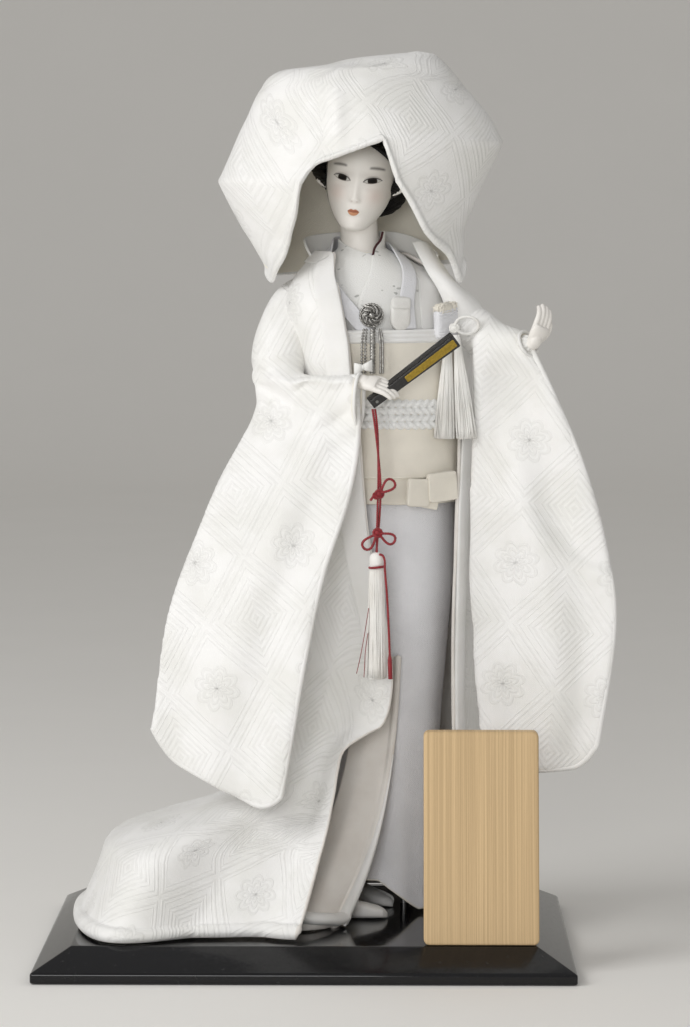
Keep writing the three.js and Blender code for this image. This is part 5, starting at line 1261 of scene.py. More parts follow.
def make_hair():
    """The wig: a puffed roll from the hairline back over an ellipsoid, with combed grooves, a nape and a
    top knot."""
    turn = np.linspace(-np.pi / 2, 1.5 * np.pi, 241)[None, :]
    v = np.linspace(0, 1, 70)[:, None]
    c, s = np.cos(turn), np.sin(turn)
    line_x = 20 * bent(c, np.where(s > 0, 1.7, 0.6))
    line_z = 5 + np.where(s > 0, 18 * s, 12 * s)
    wide, middle, deep = columns(SKULL, line_z[0])
    inside = np.sqrt(np.clip(1 - (line_x[0] / np.maximum(wide, 1)) ** 2, 0.02, 1))
    line_y = (middle - deep * inside)[None, :]
    least = np.where(s > 0, -26, -26 + 20 * ease(-s, 0, 0.35))
    start = np.stack(np.broadcast_arrays(line_x, np.maximum(line_y, least) - 0.3, line_z), -1)
    beta = np.radians(50 + 130 * v)
    flare = np.where(s > 0, 1.0, 1 - 0.18 * s * s)
    roll = np.stack([30 * flare * np.sin(beta) * c, 7 - 27 * np.cos(beta) * np.ones_like(c),
                     9 + np.sin(beta) * np.where(s > 0, 22, 23) * s], -1)
    share = ease(v, -0.02, 0.3)[..., None]
    points = mix(start, roll, share)
    groove = 0.22 * np.sin(turn * 64) + 0.14 * np.sin(turn * 151 + 1)
    normal = grid_normals(points, True)
    way = np.sign((normal * (points - [0, 4, 9])).sum(-1, keepdims=True))
    lift = groove * ease(v, 0, 0.15) * (1 - ease(v, 0.75, 1)) + 1.5 * ease(v, 0, 0.06)
    points = points + normal * way * lift[..., None]
    uv = np.stack(np.broadcast_arrays(turn * 20 * MM, v * 60 * MM), -1)
    closing = np.broadcast_to(np.array([0.0, 2.0, 9.0]), points[:1].shape)
    seam = start[None, 0] * [0.96, 0.5, 0.96] + [0, 0, 0.4]
    patch = Patchwork().add(np.concatenate([closing, seam, points]), np.concatenate([uv[:1], uv[:1], uv]))
    patch.points[-1] = in_head(patch.points[-1])
    for half, at in (((20, 13, 17.5), (7, 21, -5)), ((13, 17, 15), (0, 9, 38))):
        knob = pillow(half, rows=40, cols=120)
        ring = np.arctan2(knob[..., 2], knob[..., 0])
        knob = knob * (1 + 0.012 * np.sin(ring * 56))[..., None]
        patch.add(in_head(knob + at), np.stack([ring * 14, knob[..., 1]], -1) * MM)
    piece("wig_combed", patch, ["hair"], "head", "hair", ["wig"])


def make_hood():
    """The hood: its outer grid, the same form set in as lining, and a padded round rim between them."""
    turn = np.linspace(-180, 180, 241)[None, :]
    drop = np.concatenate([[0.0], np.linspace(0.012, 1, 90)])[:, None]
    outer = on_hood(turn, drop, 0)
    inner = on_hood(turn, drop, 1.8)
    uv = cloth_uv(outer, 0.5)
    front = np.maximum(np.cos(np.radians(turn)), 0) ** 0.5
    ripple = 0.9 * ruck(uv[..., 0], uv[..., 1], seed=5, size=0.09) * ease(drop, 0.1, 0.4)
    ridge = 2.6 * near(outer[..., 0], 17, 5) * near(outer[..., 2], 458, 18) * front
    normal = grid_normals(outer, True)
    way = np.sign((normal * (outer - [35, 27, 420])).sum(-1, keepdims=True))
    lift = ripple + ridge + 2.4 * ease(drop, 0.93, 0.985) * np.ones_like(turn)
    outer = outer + normal * way * lift[..., None]
    outer[0] = outer[0].mean(0)
    inner[0] = inner[0].mean(0)
    patch = Patchwork().cloth(outer, 0, uv, closed=True, back=inner, edge=0)
    hood = piece("hood_damask", patch, ["damask", "lining"], "head", "damask", ["hood"])
    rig.sheet(hood, held="draped", rests_on=["wig_combed"], **cut_of(hood, patch.face))


# The dress

def trunk_pipe(low, high, lift, thick, rows, seed, rough, wave=0.0):
    """A band round the trunk: angle and height on a grid, lifted off the trunk and softly uneven."""
    angle = np.linspace(270, -90, 181)[None, :]
    lift = lift + thick
    z = np.linspace(high, low, rows)[:, None] * np.ones_like(angle)
    flat = on_trunk(angle, z, lift)
    uv = cloth_uv(flat, 0.5)
    around = np.radians(angle)
    uneven = rough * (np.sin(3 * around + seed) * 0.3
                      + ruck(np.cos(around) * 40, z + np.sin(around) * 40, seed, 22))
    folds = wave * np.sin((z - low) / (high - low) * 2 * np.pi * 2.5 + 0.7 * np.sin(2 * around))
    return Patchwork().cloth(on_trunk(angle, z, lift + uneven + folds), thick, uv, closed=True)


def make_kimono():
    """The inner kimono: the trunk's surface lifted off, its hem raised over the feet, with soft upright
    folds."""
    angle = np.linspace(270, -90, 221)[None, :]
    share = np.linspace(0, 1, 130)[:, None]
    foot = on_trunk(angle, np.full_like(angle, 8.0), SKIN)
    hem = 3 + 18 * np.clip((64 - foot[..., 0]) / 24, 0, 1)
    z = KIMONO_TOP + (hem - KIMONO_TOP) * share
    folds = 0.7 * np.sin(np.radians(angle) * 9 + 0.01 * z) * ease(share, 0.45, 1.0)
    points = on_trunk(angle, z, SKIN + folds + 1.3 * ease(share, 0.975, 1.0))
    patch = Patchwork().cloth(points, thick=1.6, closed=True)
    kimono = piece("kimono_crepe", patch, ["crepe", "lining"], "doll", "crepe", ["kimono"])
    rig.sheet(kimono, held="hung", rests_on=["leg_core", "torso_core"], **cut_of(kimono, patch.face))


def neck_band(width, thick, lift, over, count=150, sides=24):
    """A collar: a flattened ring carried along the neckline, lying on the trunk and crossing over in
    front."""
    angle, z = even_rows(NECKLINE, np.linspace(0, 1, count)).T
    line = on_trunk(angle, z, lift + over * np.linspace(0, 1, count))
    way = unit(np.gradient(line, axis=0))
    out = unit(np.cross(on_trunk(angle + 0.5, z, lift) - on_trunk(angle - 0.5, z, lift),
                        on_trunk(angle, z + 5, lift) - on_trunk(angle, z - 5, lift)))
    side = unit(np.cross(out, way))
    turn = full_turn(sides + 1)
    a = 0.5 * width * bent(np.cos(turn), 0.6)
    b = thick * (0.5 + 0.5 * bent(np.sin(turn), 0.6))
    return line[:, None] + side[:, None] * a[None, :, None] + out[:, None] * b[None, :, None]


def make_collars():
    """Chest, broad under-collar halves crossing at the throat, a dark line on the upper one, and the
    kimono collar."""
    angle = np.linspace(-90, 270, 121)[None, :]
    z = np.concatenate([np.linspace(364, 382, 14), [383, 383.6]])[:, None] * np.ones_like(angle)
    chest = Patchwork().capped(on_trunk(angle, z, 0.5))
    piece("chest_skin", chest, ["shell"], "doll", "shell_white")
    across = np.linspace(0, 1, 60)[None, :]
    patch = Patchwork()
    for top, column, far, over in ((388.5, 1, 140, 0.0), (393, 0, 410, 1.5)):
        z = np.linspace(top, UNDER_FOOT, 70)[:, None]
        inner = smooth_rows(UNDER_EDGES, z)[..., column]
        turn = mix(inner, far, across) if column else mix(far, inner, across)
        patch.cloth(on_trunk(turn, z + 0 * across, SKIN + 0.9 - 0.9 * ease(z, 378, 386) + over),
                    thick=1.1, lining=0)
    collar = piece("under_collar_silk", patch, ["leafy"], "doll", "white_silk", ["under_collar"])
    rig.sheet(collar, held="folded", rests_on=["chest_skin"], **cut_of(collar, patch.face))
    z = np.linspace(393, 380, 40)
    right = smooth_rows(UNDER_EDGES, z)[:, 0]
    edge = curve(on_trunk(right - 1, z, SKIN + 2.3 - 0.9 * ease(z, 378, 386))[[0, 13, 26, 39]], 40)
    piece("collar_edge", Patchwork().capped(sweep(edge, 0.7, sides=10)), ["maroon"], "doll", "red_silk")
    grid = neck_band(width=9.0, thick=1.5, lift=SKIN + 3.4, over=1.0)
    obj = piece("kimono_collar_crepe", Patchwork().capped(grid), ["crepe"], "doll", "crepe",
                ["kimono_collar"])
    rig.sheet(obj, held="folded", rests_on=["kimono_crepe"], **cut_of(obj, grid[:, :13]))


def make_obi():
    """The wide sash with its scarf above, the braided cord round it and the padded bow at the back."""
    patch = trunk_pipe(254, 330, lift=5.8, thick=2.6, rows=60, seed=3, rough=0.25)
    obi = piece("obi_silk", patch, ["ivory", "lining"], "doll", "ivory", ["obi"])
    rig.sheet(obi, held="stretched", rests_on=["kimono_crepe"], **cut_of(obi, patch.face))
    patch = trunk_pipe(330.6, 337, lift=6.4, thick=3.0, rows=26, seed=8, rough=0.35, wave=0.3)
    scarf = piece("obi_scarf_silk", patch, ["white"] * 2, "doll", "white_silk", ["obi_scarf"])
    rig.sheet(scarf, held="gathered", rests_on=["obi_silk"], **cut_of(scarf, patch.face))
    patch = Patchwork()
    angle = np.linspace(-90, 270, 620)
    for row in range(4):
        z = 283.5 + 4.1 * row + 0.4 * np.sin(np.radians(angle) * 2)
        line = on_trunk(angle, z, 8.2)
        patch.add(twisted(line, 2.7, 9.0, lobes=2, depth=0.42, sides=14, hand=1 if row % 2 else -1))
    piece("obi_cord_braid", patch, ["braid"], "doll", "white_silk", ["obi_cord"])
    pad = pillow((27, 7.5, 28), (0.5, 0.45), rows=40, cols=60)
    pad[..., 1] *= 1 - 0.25 * near(pad[..., 2], 0, 5)
    pad = pad @ turning(z=OBI_BACK["angle"] + 90) + middle_of("obi_bow")
    bow = piece("obi_bow_pad", Patchwork().add(pad), ["ivory"], "doll", "ivory", ["obi_bow"])
    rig.padded(bow, fill=0.6)


def make_sash():
    """The narrow sash under the obi, and its bow in front: flat folded blocks with a slanting crease in
    each."""
    patch = trunk_pipe(239, 253.5, lift=4.4, thick=2.2, rows=22, seed=12, rough=0.25)
    sash = piece("sash_silk", patch, ["ivory"] * 2, "doll", "white_silk", ["sash"])
    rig.sheet(sash, held="stretched", rests_on=["kimono_crepe"], **cut_of(sash, patch.face))
    patch = Patchwork()
    for half, at, tilt in (((7.4, 1.7, 8.0), (-7.0, -1.6, -1.6), 4),
                           ((9.6, 1.9, 8.4), (8.4, -2.4, 1.4), -5),
                           ((5.4, 1.2, 5.2), (1.5, -0.6, -6.0), 12)):
        block = pillow(half, (0.22, 0.3), rows=40, cols=60)
        crease = block[..., 2] - 0.55 * block[..., 0]
        block[..., 1] *= 1 - 0.3 * near(crease, 0.5, 1.0) + 0.14 * np.tanh(crease / 2)
        patch.add(block @ turning(y=tilt) + at)
    ribbon = pillow((16.0, 1.0, 8.0))[:, :19]
    patch.points = [on_chest(p, angle=300, height=246.5, lift=8.2) for p in patch.points]
    bow = piece("sash_bow_silk", patch, ["ivory"], "doll", "white_silk", ["sash_bow"])
    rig.sheet(bow, held="folded", rests_on=["sash_silk"], **cut_of(bow, ribbon))


def padded_hem(run, radius, stand):
    """Extra lift of a padded hem: a half circle over the last two radii above the edge."""
    return stand * np.sqrt(np.clip(1 - (run / radius - 1) ** 2, 0, 1))


def above_hem(uv):
    """Length of cloth from each point down to its hem, in millimetres."""
    return (uv[..., 1] - uv[-1, :, 1]) / MM


def off_floor(points):
    """Points raised to the hem's height where they would lie lower."""
    points[..., 2] = np.maximum(points[..., 2], HEM_HEIGHT)
    return points


def make_robe():
    """The outer robe: the drape's grid lifted to its face, with a padded hem, soft ripples and its lining
    behind."""
    cloth = bpy.context.scene.doll_cloth
    s = np.linspace(0, 1, 231)[None, :] * np.ones((150, 1))
    top = robe_down(robe_top(s[:1]))
    down = top + (1 - top) * np.concatenate([np.linspace(0, 0.9, 105),
                                             np.linspace(0.905, 1, 45)])[:, None]
    flat, normal = lifted(on_robe, s, down, np.full(s.shape, CLOTH))
    uv = cloth_uv(flat, 0.35)
    run = above_hem(uv)
    fall = ease(down, 0.35, 0.95)
    soft = ruck(uv[..., 0], uv[..., 1], seed=21, size=0.06)
    soft = soft + 1.6 * fall * ruck(uv[..., 0], uv[..., 1], seed=4, size=0.11)
    swell = padded_hem(run, radius=4.5, stand=3.2) + cloth.wrinkle / MM * soft * ease(run, 4, 25)
    points = off_floor(flat + normal * swell[..., None])
    patch = Patchwork().cloth(points, CLOTH + np.maximum(swell, 0) * 0.9, uv)
    robe = piece("robe_damask", patch, ["damask", "robe_lining"], "doll", "damask", ["robe"])
    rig.sheet(robe, held="hung", rests_on=["obi_silk", "board_lacquered"], **cut_of(robe, points))


def make_robe_collar():
    """The robe's collar: a flattened ring up the right edge, round the neck and down the left edge of the
    robe."""
    s = np.linspace(0, 1, 90)
    up = np.linspace(robe_down(150), robe_down(robe_top(0.0)), 70)[:-1]
    back = np.linspace(robe_down(robe_top(1.0)), robe_down(40), 70)[1:]
    line = np.concatenate([np.column_stack([0 * up, up]), np.column_stack([s, robe_down(robe_top(s))]),
                           np.column_stack([0 * back + 1, back])])
    kernel = np.hanning(17)
    kernel /= kernel.sum()
    soft = np.pad(line, ((8, 8), (0, 0)), mode="reflect", reflect_type="odd")
    line = np.stack([np.convolve(soft[:, k], kernel, "valid") for k in (0, 1)], -1)
    points, normal = lifted(on_robe, line[:, 0], line[:, 1], np.full(len(line), CLOTH))
    inward = np.cross(normal, unit(np.gradient(points, axis=0)))
    share = np.linspace(0, 1, len(line))
    width = smooth_rows([
        [0, 15], [0.28, 14], [0.4, 9], [0.55, 10], [0.66, 11], [0.74, 11], [0.84, 9], [1, 9],
    ], share)
    high = smooth_rows([
        [0, 2.6], [0.28, 2.4], [0.36, 1.0], [0.58, 0.8], [0.7, 0.8], [0.8, 2.0], [1, 2.6],
    ], share)
    turn = full_turn(29)[None, :]
    across = width * (0.5 - 0.5 * bent(np.cos(turn), 0.7)) - 0.8
    lift = 0.2 + high * (0.5 + 0.5 * bent(np.sin(turn), 0.6))
    grid = points[:, None] + inward[:, None] * across[..., None] + normal[:, None] * lift[..., None]
    strip = piece("robe_collar_silk", Patchwork().capped(grid), ["white"], "doll", "damask",
                  ["robe_collar"])
    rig.sheet(strip, held="folded", rests_on=["robe_damask"], **cut_of(strip, grid[:, :15]))


def make_lapel():
    """The robe's left lapel: a sheet through three curves, each point the quadratic through its inner
    edge, its crown and its outer edge on the shoulder."""
    inner = curve([
        [60.5, 27, 387], [64.8, 20.5, 378.6], [69.2, 15.6, 369.6], [74.4, 14.4, 361], [78.3, 14.4, 352],
        [80, 14.5, 343], [81, 14.5, 334],
    ], 70)
    crown = curve([
        [68, 29, 387], [74.0, 22, 377], [80.0, 15.8, 367.5], [86, 13.0, 358.5], [89.5, 12.5, 350.5],
        [91, 11.5, 343], [91, 11.5, 335],
    ], 70)
    outer = curve([
        [72, 38, 383], [78, 34.5, 373.5], [86, 29, 363], [96.5, 24, 355], [101, 19, 347], [100, 16, 340],
        [98, 14, 334],
    ], 70)
    u = np.linspace(1, 0, 36)[None, :, None]
    grid = inner[:, None] * (1 - u) * (1 - 2 * u) + 4 * crown[:, None] * u * (1 - u)
    grid = grid + outer[:, None] * u * (2 * u - 1)
    patch = Patchwork().cloth(grid, thick=1.6, lining=0)
    lapel = piece("robe_lapel_silk", patch, ["white"], "doll", "damask")
    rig.sheet(lapel, held="folded", rests_on=["robe_damask"], **cut_of(lapel, grid))


def make_second_collar():
    """The second layer's collar: a cup round the back of the neck, an ellipse by angle that widens as it
    rises, and a lapel on the chest whose lift grows from its inner edge to just under the robe."""
    angle = np.linspace(234, -3, 131)[None, :]
    up = np.linspace(1, 0, 40)[:, None]
    a = np.radians(angle)
    rim = 388 + 4.5 * np.maximum(np.sin(a), 0) - 16 * ease(angle, 176, 232) - 9 * (1 - ease(angle, -3, 75))
    z = mix(362.0, rim, up)
    wide, deep = mix(25.0, 39.0, up**0.8), mix(15.0, 21.0, up)
    cup = np.stack([36 + wide * np.cos(a), 28.5 + deep * np.sin(a) + 0 * z, z], -1)
    patch = Patchwork().cloth(cup, thick=1.5, lining=0)
    z = np.linspace(380, 338, 60)[:, None]
    share = np.linspace(0, 1, 30)[None, :]
    inner = smooth_rows([[338, -51], [352, -49], [362, -43], [370, -32], [380, -12]], z)[..., 0]
    turn = mix(inner + 22, inner, share)
    lift = mix(robe_lift(turn, z) - 2.4, SKIN + 3.0, share)
    patch.cloth(on_trunk(turn, z + 0 * share, lift), thick=1.2, lining=0)
    collar = piece("second_collar_silk", patch, ["white"], "doll", "white_silk")
    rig.sheet(collar, held="folded", rests_on=["kimono_crepe"], **cut_of(collar, cup))


def make_second_hem():
    """The second layer's padded hem, which shows in the front between the robe and the feet."""
    edge = [[0, 0, 0], [SECOND["top"], 0, 0]]
    lift = lambda turn, z: SKIN + 2 * CLEAR + 0 * z
    surface = lambda s, down: on_drape(SECOND, SECOND_HEM, edge, lift, s, down)
    s = np.linspace(0, 1, 70)[None, :] * np.ones((80, 1))
    down = np.linspace(0, 1, 80)[:, None] * np.ones((1, 70))
    flat, normal = lifted(surface, s, down, np.full(s.shape, 1.6))
    uv = cloth_uv(flat)
    swell = np.maximum(padded_hem(above_hem(uv), radius=4.2, stand=3.0),
                       padded_hem(s * 55, radius=4.0, stand=2.6))
    points = off_floor(flat + normal * swell[..., None])
    patch = Patchwork().cloth(points, 1.6 + swell * 0.9, uv)
    roll = np.concatenate([points[30:, 2], points[-3, 3:-2]]) + [0, -0.6, 1.2]
    patch.capped(sweep(roll, 0.5 + 4.2 * ease(np.linspace(0, 1, len(roll)), 0, 0.5), 20, 0.75), 2)
    second = piece("second_hem_silk", patch, ["robe_lining"] * 2 + ["white"], "doll", "white_silk",
                   ["second_hem"])
    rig.sheet(second, held="hung", rests_on=["kimono_crepe"], **cut_of(second, points))


def sleeve_sheet(form, u, t):
    """The hanging part of a sleeve: straight across from outer to inner edge, swelling forwards, with
    long folds."""
    p = mix(even_rows(form["outer"], t), even_rows(form["inner"], t), u[..., None])
    swell = np.sin(np.pi * u) * np.sin(np.pi * t) ** 0.7
    folds = 5 * np.sin(2 * np.pi * (2 * u + 0.4 * t)) * t * (1.3 - t)
    if "fold" in form:
        folds = folds + 5.5 * ease(smooth_rows(form["fold"], p[..., 2])[..., 0] - p[..., 0], -14, 6)
    if "drape" in form:
        hang = 3.2 * np.sqrt((u - 0.45) ** 2 + 0.01) + 9 * t
        folds = folds + form["drape"] * np.sin(2 * np.pi * hang) * near(t, 0.17, 0.1)
    corner = 60 * np.maximum(2 * np.abs(u - 0.5) - 0.55, 0) ** 2 * t**6
    return p + np.stack([0 * u, -form["bulge"] * swell - folds, corner], -1)


def make_sleeves():
    """Both sleeves: the hanging panel and the upper arm's tube fused into one skin, with ripples along
    its fall."""
    cloth = bpy.context.scene.doll_cloth
    for side, form, lean in (("right", RIGHT_SLEEVE, -11.5), ("left", LEFT_SLEEVE, 6)):
        u = np.linspace(0, 1, 60)[None, :] * np.ones((110, 1))
        t = np.linspace(0, 1, 110)[:, None] * np.ones((1, 60))
        sheet = sleeve_sheet(form, u, t)
        half = 0.5 * (4.5 + 10.5 * near(t, 0.03, 0.075) * ease(u, -0.02, 0.2))
        normal = grid_normals(sheet)
        patch = Patchwork().cloth(sheet + normal * half[..., None], 2 * half, lining=0, rim_most=2.0)
        closing = lambda power: np.sqrt(np.clip(1 - np.linspace(-1, 1, LIMB) ** power, 0.05, 1))
        girth = even_rows(form["radii"], np.linspace(0, 1, LIMB))[:, 0] * closing(8)
        patch.capped(sweep(curve(form["upper"], LIMB), girth, 32))
        if "lower" in form:
            girth = np.linspace(10.5, 7.5, LIMB) * closing(10)
            patch.capped(sweep(curve(form["lower"], LIMB), girth, 32, 1.4))
        obj = piece("sleeve_cloth_" + side, patch, ["damask"], "doll", "damask", ["sleeve_" + side])
        fused(obj, SLEEVE_VOXEL, rounds=10)
        points, normals = vertex_arrays(obj.data)
        grain = points[:, [0, 2]] - [0, 0.2]
        tilt = math.radians(lean)
        uv = np.stack([grain[:, 0] * math.cos(tilt) - grain[:, 1] * math.sin(tilt),
                       grain[:, 0] * math.sin(tilt) + grain[:, 1] * math.cos(tilt)], -1)
        rough = ruck(uv[:, 0], uv[:, 1] * 0.35, seed=7, size=0.035)
        rough = rough + 0.9 * ruck(uv[:, 0], uv[:, 1], seed=9, size=0.05)
        points = points + normals * (cloth.wrinkle * rough)[:, None]
        obj.data.vertices.foreach_set("co", points.astype(np.float32).ravel())
        layer = obj.data.uv_layers.new(name="cloth")
        layer.data.foreach_set("uv", uv[corner_vertices(obj.data)].astype(np.float32).ravel())
        obj.data.update()
        edge = np.linspace(0, 1, 80)
        start = 0.0 if side == "left" else 1.0
        upright = sleeve_sheet(form, np.full(80, start), edge)
        foot = sleeve_sheet(form, np.abs(start - edge), np.ones(80))
        edging = Patchwork().capped(sweep(np.concatenate([upright, foot[1:]]), 1.7, 14))
        trim = piece("sleeve_edge_" + side, edging, ["white"], "doll", "white_silk")
        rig.sheet(obj, held="hung", rests_on=["arm_" + side], with_pieces=[trim], **cut_of(obj, sheet))
    make_cuff("right", middle=(29.6, -26.2, 298.5), way=(0.9, -0.42, 0.0), along=(0.06, -0.12, -1.0),
              half=(15.0, 6.4))
    make_cuff("left", middle=(125.4, -10.9, 330.0), way=(0.68, -0.62, 0.4), along=(0.5, 0.1, -0.8),
              half=(7.4, 7.0), gather=5.4)


def make_cuff(side, middle, way, along, half, gather=0.0):
    """A sleeve's mouth: an oval of piping, with the lining drawn back into the sleeve inside it, and the
    under-sleeve gathered round the wrist as a fluted ball."""
    way = unit(np.array(way))
    along = unit(np.array(along) - way * (np.array(along) @ way))
    other = np.cross(way, along)
    turn = full_turn(73)
    rim = half[0] * np.cos(turn)[:, None] * along + half[1] * np.sin(turn)[:, None] * other
    patch = Patchwork().add(sweep(rim + middle, 1.0, sides=12))
    steps = ((0.97, 0.2), (0.88, 1.0), (0.55, 1.8), (0.2, 2.0), (0.2, 2.8), (0.85, 2.2), (0.95, 0.9))
    rows = np.stack([share * rim - back * way + middle for share, back in steps])
    patch.add(np.concatenate([rows, rows[:1]]), None, 1)
    if gather:
        ball = pillow((gather, gather, gather), (1.0, 1.0), rows=40, cols=60)
        ball = ball * (1 + 0.05 * np.sin(11 * np.arctan2(ball[..., 1:2], ball[..., 0:1])))
        patch.add(ball @ np.stack([along, other, way]) + middle - 1.2 * way)
    piece("cuff_" + side, patch, ["white", "lining"], "doll", "damask")


# Small pieces on the chest

def make_purse():
    """The pouch: a rounded padded block with a flap whose edge stands proud."""
    body = pillow((6.0, 2.4, 9.6), (0.45, 0.5), rows=36, cols=48)
    body[..., 0] *= 1 - 0.1 * ease(body[..., 2], -2, 9) - 0.3 * (1 - ease(body[..., 2], -9.6, -5))
    flap = pillow((5.6, 1.0, 3.4), (0.4, 0.5), rows=24, cols=40) + [0, -2.0, 5.8]
    patch = Patchwork().add(body).add(flap)
    patch.points = [on_chest(p, angle=291, height=347, lift=8.4) for p in patch.points]
    obj = piece("purse_brocade", patch, ["lattice"], "doll", "ivory", ["purse"])
    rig.padded(obj, fill=0.5)


def make_ornament():
    """The silver ornament: an openwork disc of curled arms round a boss, with a rim of beads."""
    patch = Patchwork()
    for k in range(8):
        a = 2 * np.pi * k / 8
        t = np.linspace(0, 1, 30)
        r, turn = 1.2 + 4.8 * t, a + 1.5 * t**1.4
        path = np.stack([r * np.cos(turn), -0.6 - 2.0 * np.sin(np.pi * t), r * np.sin(turn)], -1)
        patch.capped(sweep(path, 0.62 * (1 - 0.35 * t) + 0.12, 8))
    ring = full_turn(90)
    patch.add(sweep(np.stack([6.3 * np.cos(ring), 0 * ring, 6.3 * np.sin(ring)], -1),
                    0.72 + 0.16 * np.cos(24 * ring), 10))
    patch.add(sweep(np.stack([3.6 * np.cos(ring), -1.6 + 0 * ring, 3.6 * np.sin(ring)], -1), 0.4, 8))
    patch.add(pillow((1.9, 1.7, 1.9), rows=14, cols=20) + [0, -2.2, 0])
    patch.add(pillow((5.9, 0.5, 5.9), (0.5, 1.0), rows=10, cols=40) + [0, 1.1, 0])
    patch.points = [on_chest(p, angle=271, height=346, lift=10.4) for p in patch.points]
    piece("silver_openwork", patch, ["silver"], "doll", "silver", ["silver_ornament"])
    make_chains()


def make_chains():
    """The chains under it, straight and side by side: two beaded lines, a thick laid one and two fine
    ones."""
    top = np.array([37.0, -13.6, 337.6])
    patch = Patchwork()
    for x, kind in ((-5.9, "bead"), (-4.0, "bead"), (0.2, "rope"), (4.6, "fine"), (6.0, "fine")):
        path = curve([top + [0.8 * x, 0, 1], top + [0.96 * x, -0.3, -6], top + [x, -0.4, -15],
                      top + [x, -0.3, -24.5]], 60)
        if kind == "bead":
            for spot in path[2::4]:
                patch.add(pillow((0.85, 0.85, 0.75), rows=7, cols=8) + spot)
            patch.capped(sweep(path, 0.3, sides=6))
        else:
            radius, pitch = (1.75, 3.6) if kind == "rope" else (0.7, 1.6)
            patch.capped(twisted(path, radius, pitch, lobes=2, depth=0.5, sides=14))
    piece("silver_chain_lines", patch, ["silver"], "chains", "silver", ["silver_chains"])
    patch = Patchwork()
    for side in (-1, 1):
        u, v = np.linspace(0, 1, 18)[None, :], np.linspace(-1, 1, 12)[:, None]
        grid = np.stack(np.broadcast_arrays(side * 4.6 * u + 0 * v,
                                            -1.1 * np.sin(np.pi * u) + 0.3 * v * v,
                                            v * (0.9 + 2.2 * u) + 0.9 * side * u), -1)
        patch.cloth(grid if side < 0 else grid[:, ::-1], thick=0.8, lining=0)
    patch.add(pillow((1.3, 1.2, 1.5), rows=10, cols=14) + [0, -0.5, 0])
    patch.points = [p + middle_of("chain_bow") for p in patch.points]
    piece("chain_ribbon_bow", patch, ["white"], "chains", "white_silk", ["chain_bow"])


def tassel_grids(patch, top, length, r_top, r_bottom, count, seed, lean=(0, 0)):
    """A tassel: a fluted core and many thin strands over it, each a line that spreads and waves on its
    way down."""
    rng = np.random.default_rng(seed)
    t = np.linspace(0, 1, 26)
    radius = smooth_rows([[0, r_top], [0.12, r_top * 1.15], [0.4, mix(r_top, r_bottom, 0.45)],
                          [0.75, mix(r_top, r_bottom, 0.82)], [1, r_bottom]], t)[:, 0]
    line = np.stack([lean[0] * t, lean[1] * t, -length * t], -1) + top
    patch.capped(sweep(line[:-1], radius[:-1] * 0.82, 40, TASSEL_FLAT, start=(0, 1, 0)))
    for k in range(count):
        a = 2 * np.pi * (k + rng.uniform(-0.3, 0.3)) / count
        drift, sway = rng.uniform(-0.25, 0.25), rng.uniform(0, 2 * np.pi)
        turn = a + drift * t + 0.05 * np.sin(5 * t + sway)
        out = radius * (0.93 + 0.05 * rng.uniform(-1, 1))
        end = 1 - 0.03 * rng.uniform(0, 1)
        path = line + np.stack([out * np.cos(turn), TASSEL_FLAT * out * np.sin(turn), 0 * t], -1)
        path[:, 2] = top[2] - length * t * end
        patch.capped(sweep(path[::2], np.linspace(0.32, 0.24, 13) * (0.8 + 0.07 * r_bottom), 5))


def make_dagger():
    """The dagger's bag with a fluffed top and ribbed wrap, its round cord loop and knot, and two thread
    tassels."""
    body = pillow((9.2, 3.0, 8.9), (0.35, 0.55), rows=110, cols=56)
    body[..., 0] *= 1 + 0.12 * ease(-body[..., 2], -4, 8)
    body[..., 1] *= 1 + 0.22 * np.abs(np.sin(body[..., 2] * 2.0))
    top = pillow((8.4, 3.3, 2.7), (0.5, 0.5), rows=40, cols=90) + [0, 0, 8.4]
    rough = ruck(top[..., 0], top[..., 1], seed=6, size=1.6)
    rough = rough + ruck(top[..., 0], top[..., 2], seed=16, size=1.2)
    top = top + 0.35 * rough[..., None] * np.sign(top - [0, 0, 8.4])
    patch = Patchwork().add(on_chest(body, **DAGGER_SPOT)).add(on_chest(top, **DAGGER_SPOT), None, 1)
    obj = piece("dagger_bag_silk", patch, ["crepe", "ivory"], "doll", "ivory", ["dagger_bag"])
    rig.padded(obj, fill=0.6)
    knot = np.array([83.8, 2.6, 338.4])
    turn = np.linspace(-0.35, 2 * np.pi - 0.35, 70)
    loop = knot + np.stack([6.8 - 6.6 * np.cos(turn) + 0.4, 0.3 * np.sin(2 * turn),
                            1.6 + 4.9 * np.sin(turn)], -1)
    patch = Patchwork().add(twisted(loop, 0.95, 3.0, lobes=2, depth=0.3, sides=12))
    patch.add(pillow((2.3, 2.0, 2.0), rows=18, cols=24) + knot)
    ring = full_turn(40)
    for tilt in (-28, 24):
        coil = np.stack([2.3 * np.cos(ring), 2.0 * np.sin(ring), 0 * ring], -1)
        patch.add(twisted(coil @ turning(x=70, y=tilt) + knot, 0.95, 3, **LAY))
    piece("dagger_cord_loop", patch, ["thread"], "doll", "white_silk", ["dagger_cord"])
    for side, x, lean, seed in (("right", 80.4, -2.4, 41), ("left", 85.2, 6.0, 42)):
        patch = Patchwork()
        tassel_grids(patch, np.array([x, 3.0, 334.4]), length=61.5, r_top=1.7, r_bottom=6.2, count=64,
                     seed=seed, lean=(lean, -5.0))
        name = side + "_dagger_tassel"
        solids = frame["record"]["behaviour"]["bodies"][name]
        piece(name + "_threads", patch, ["thread"], name, "white_silk", solids)


# The fan, its cord and tassel

FAN_TURN = turning(x=25) @ turning(y=-37) @ turning(z=3)


def in_fan(points):
    """Points of the fan's own frame, which runs along X from its butt, set in the hand."""
    return points @ FAN_TURN + FAN_BUTT


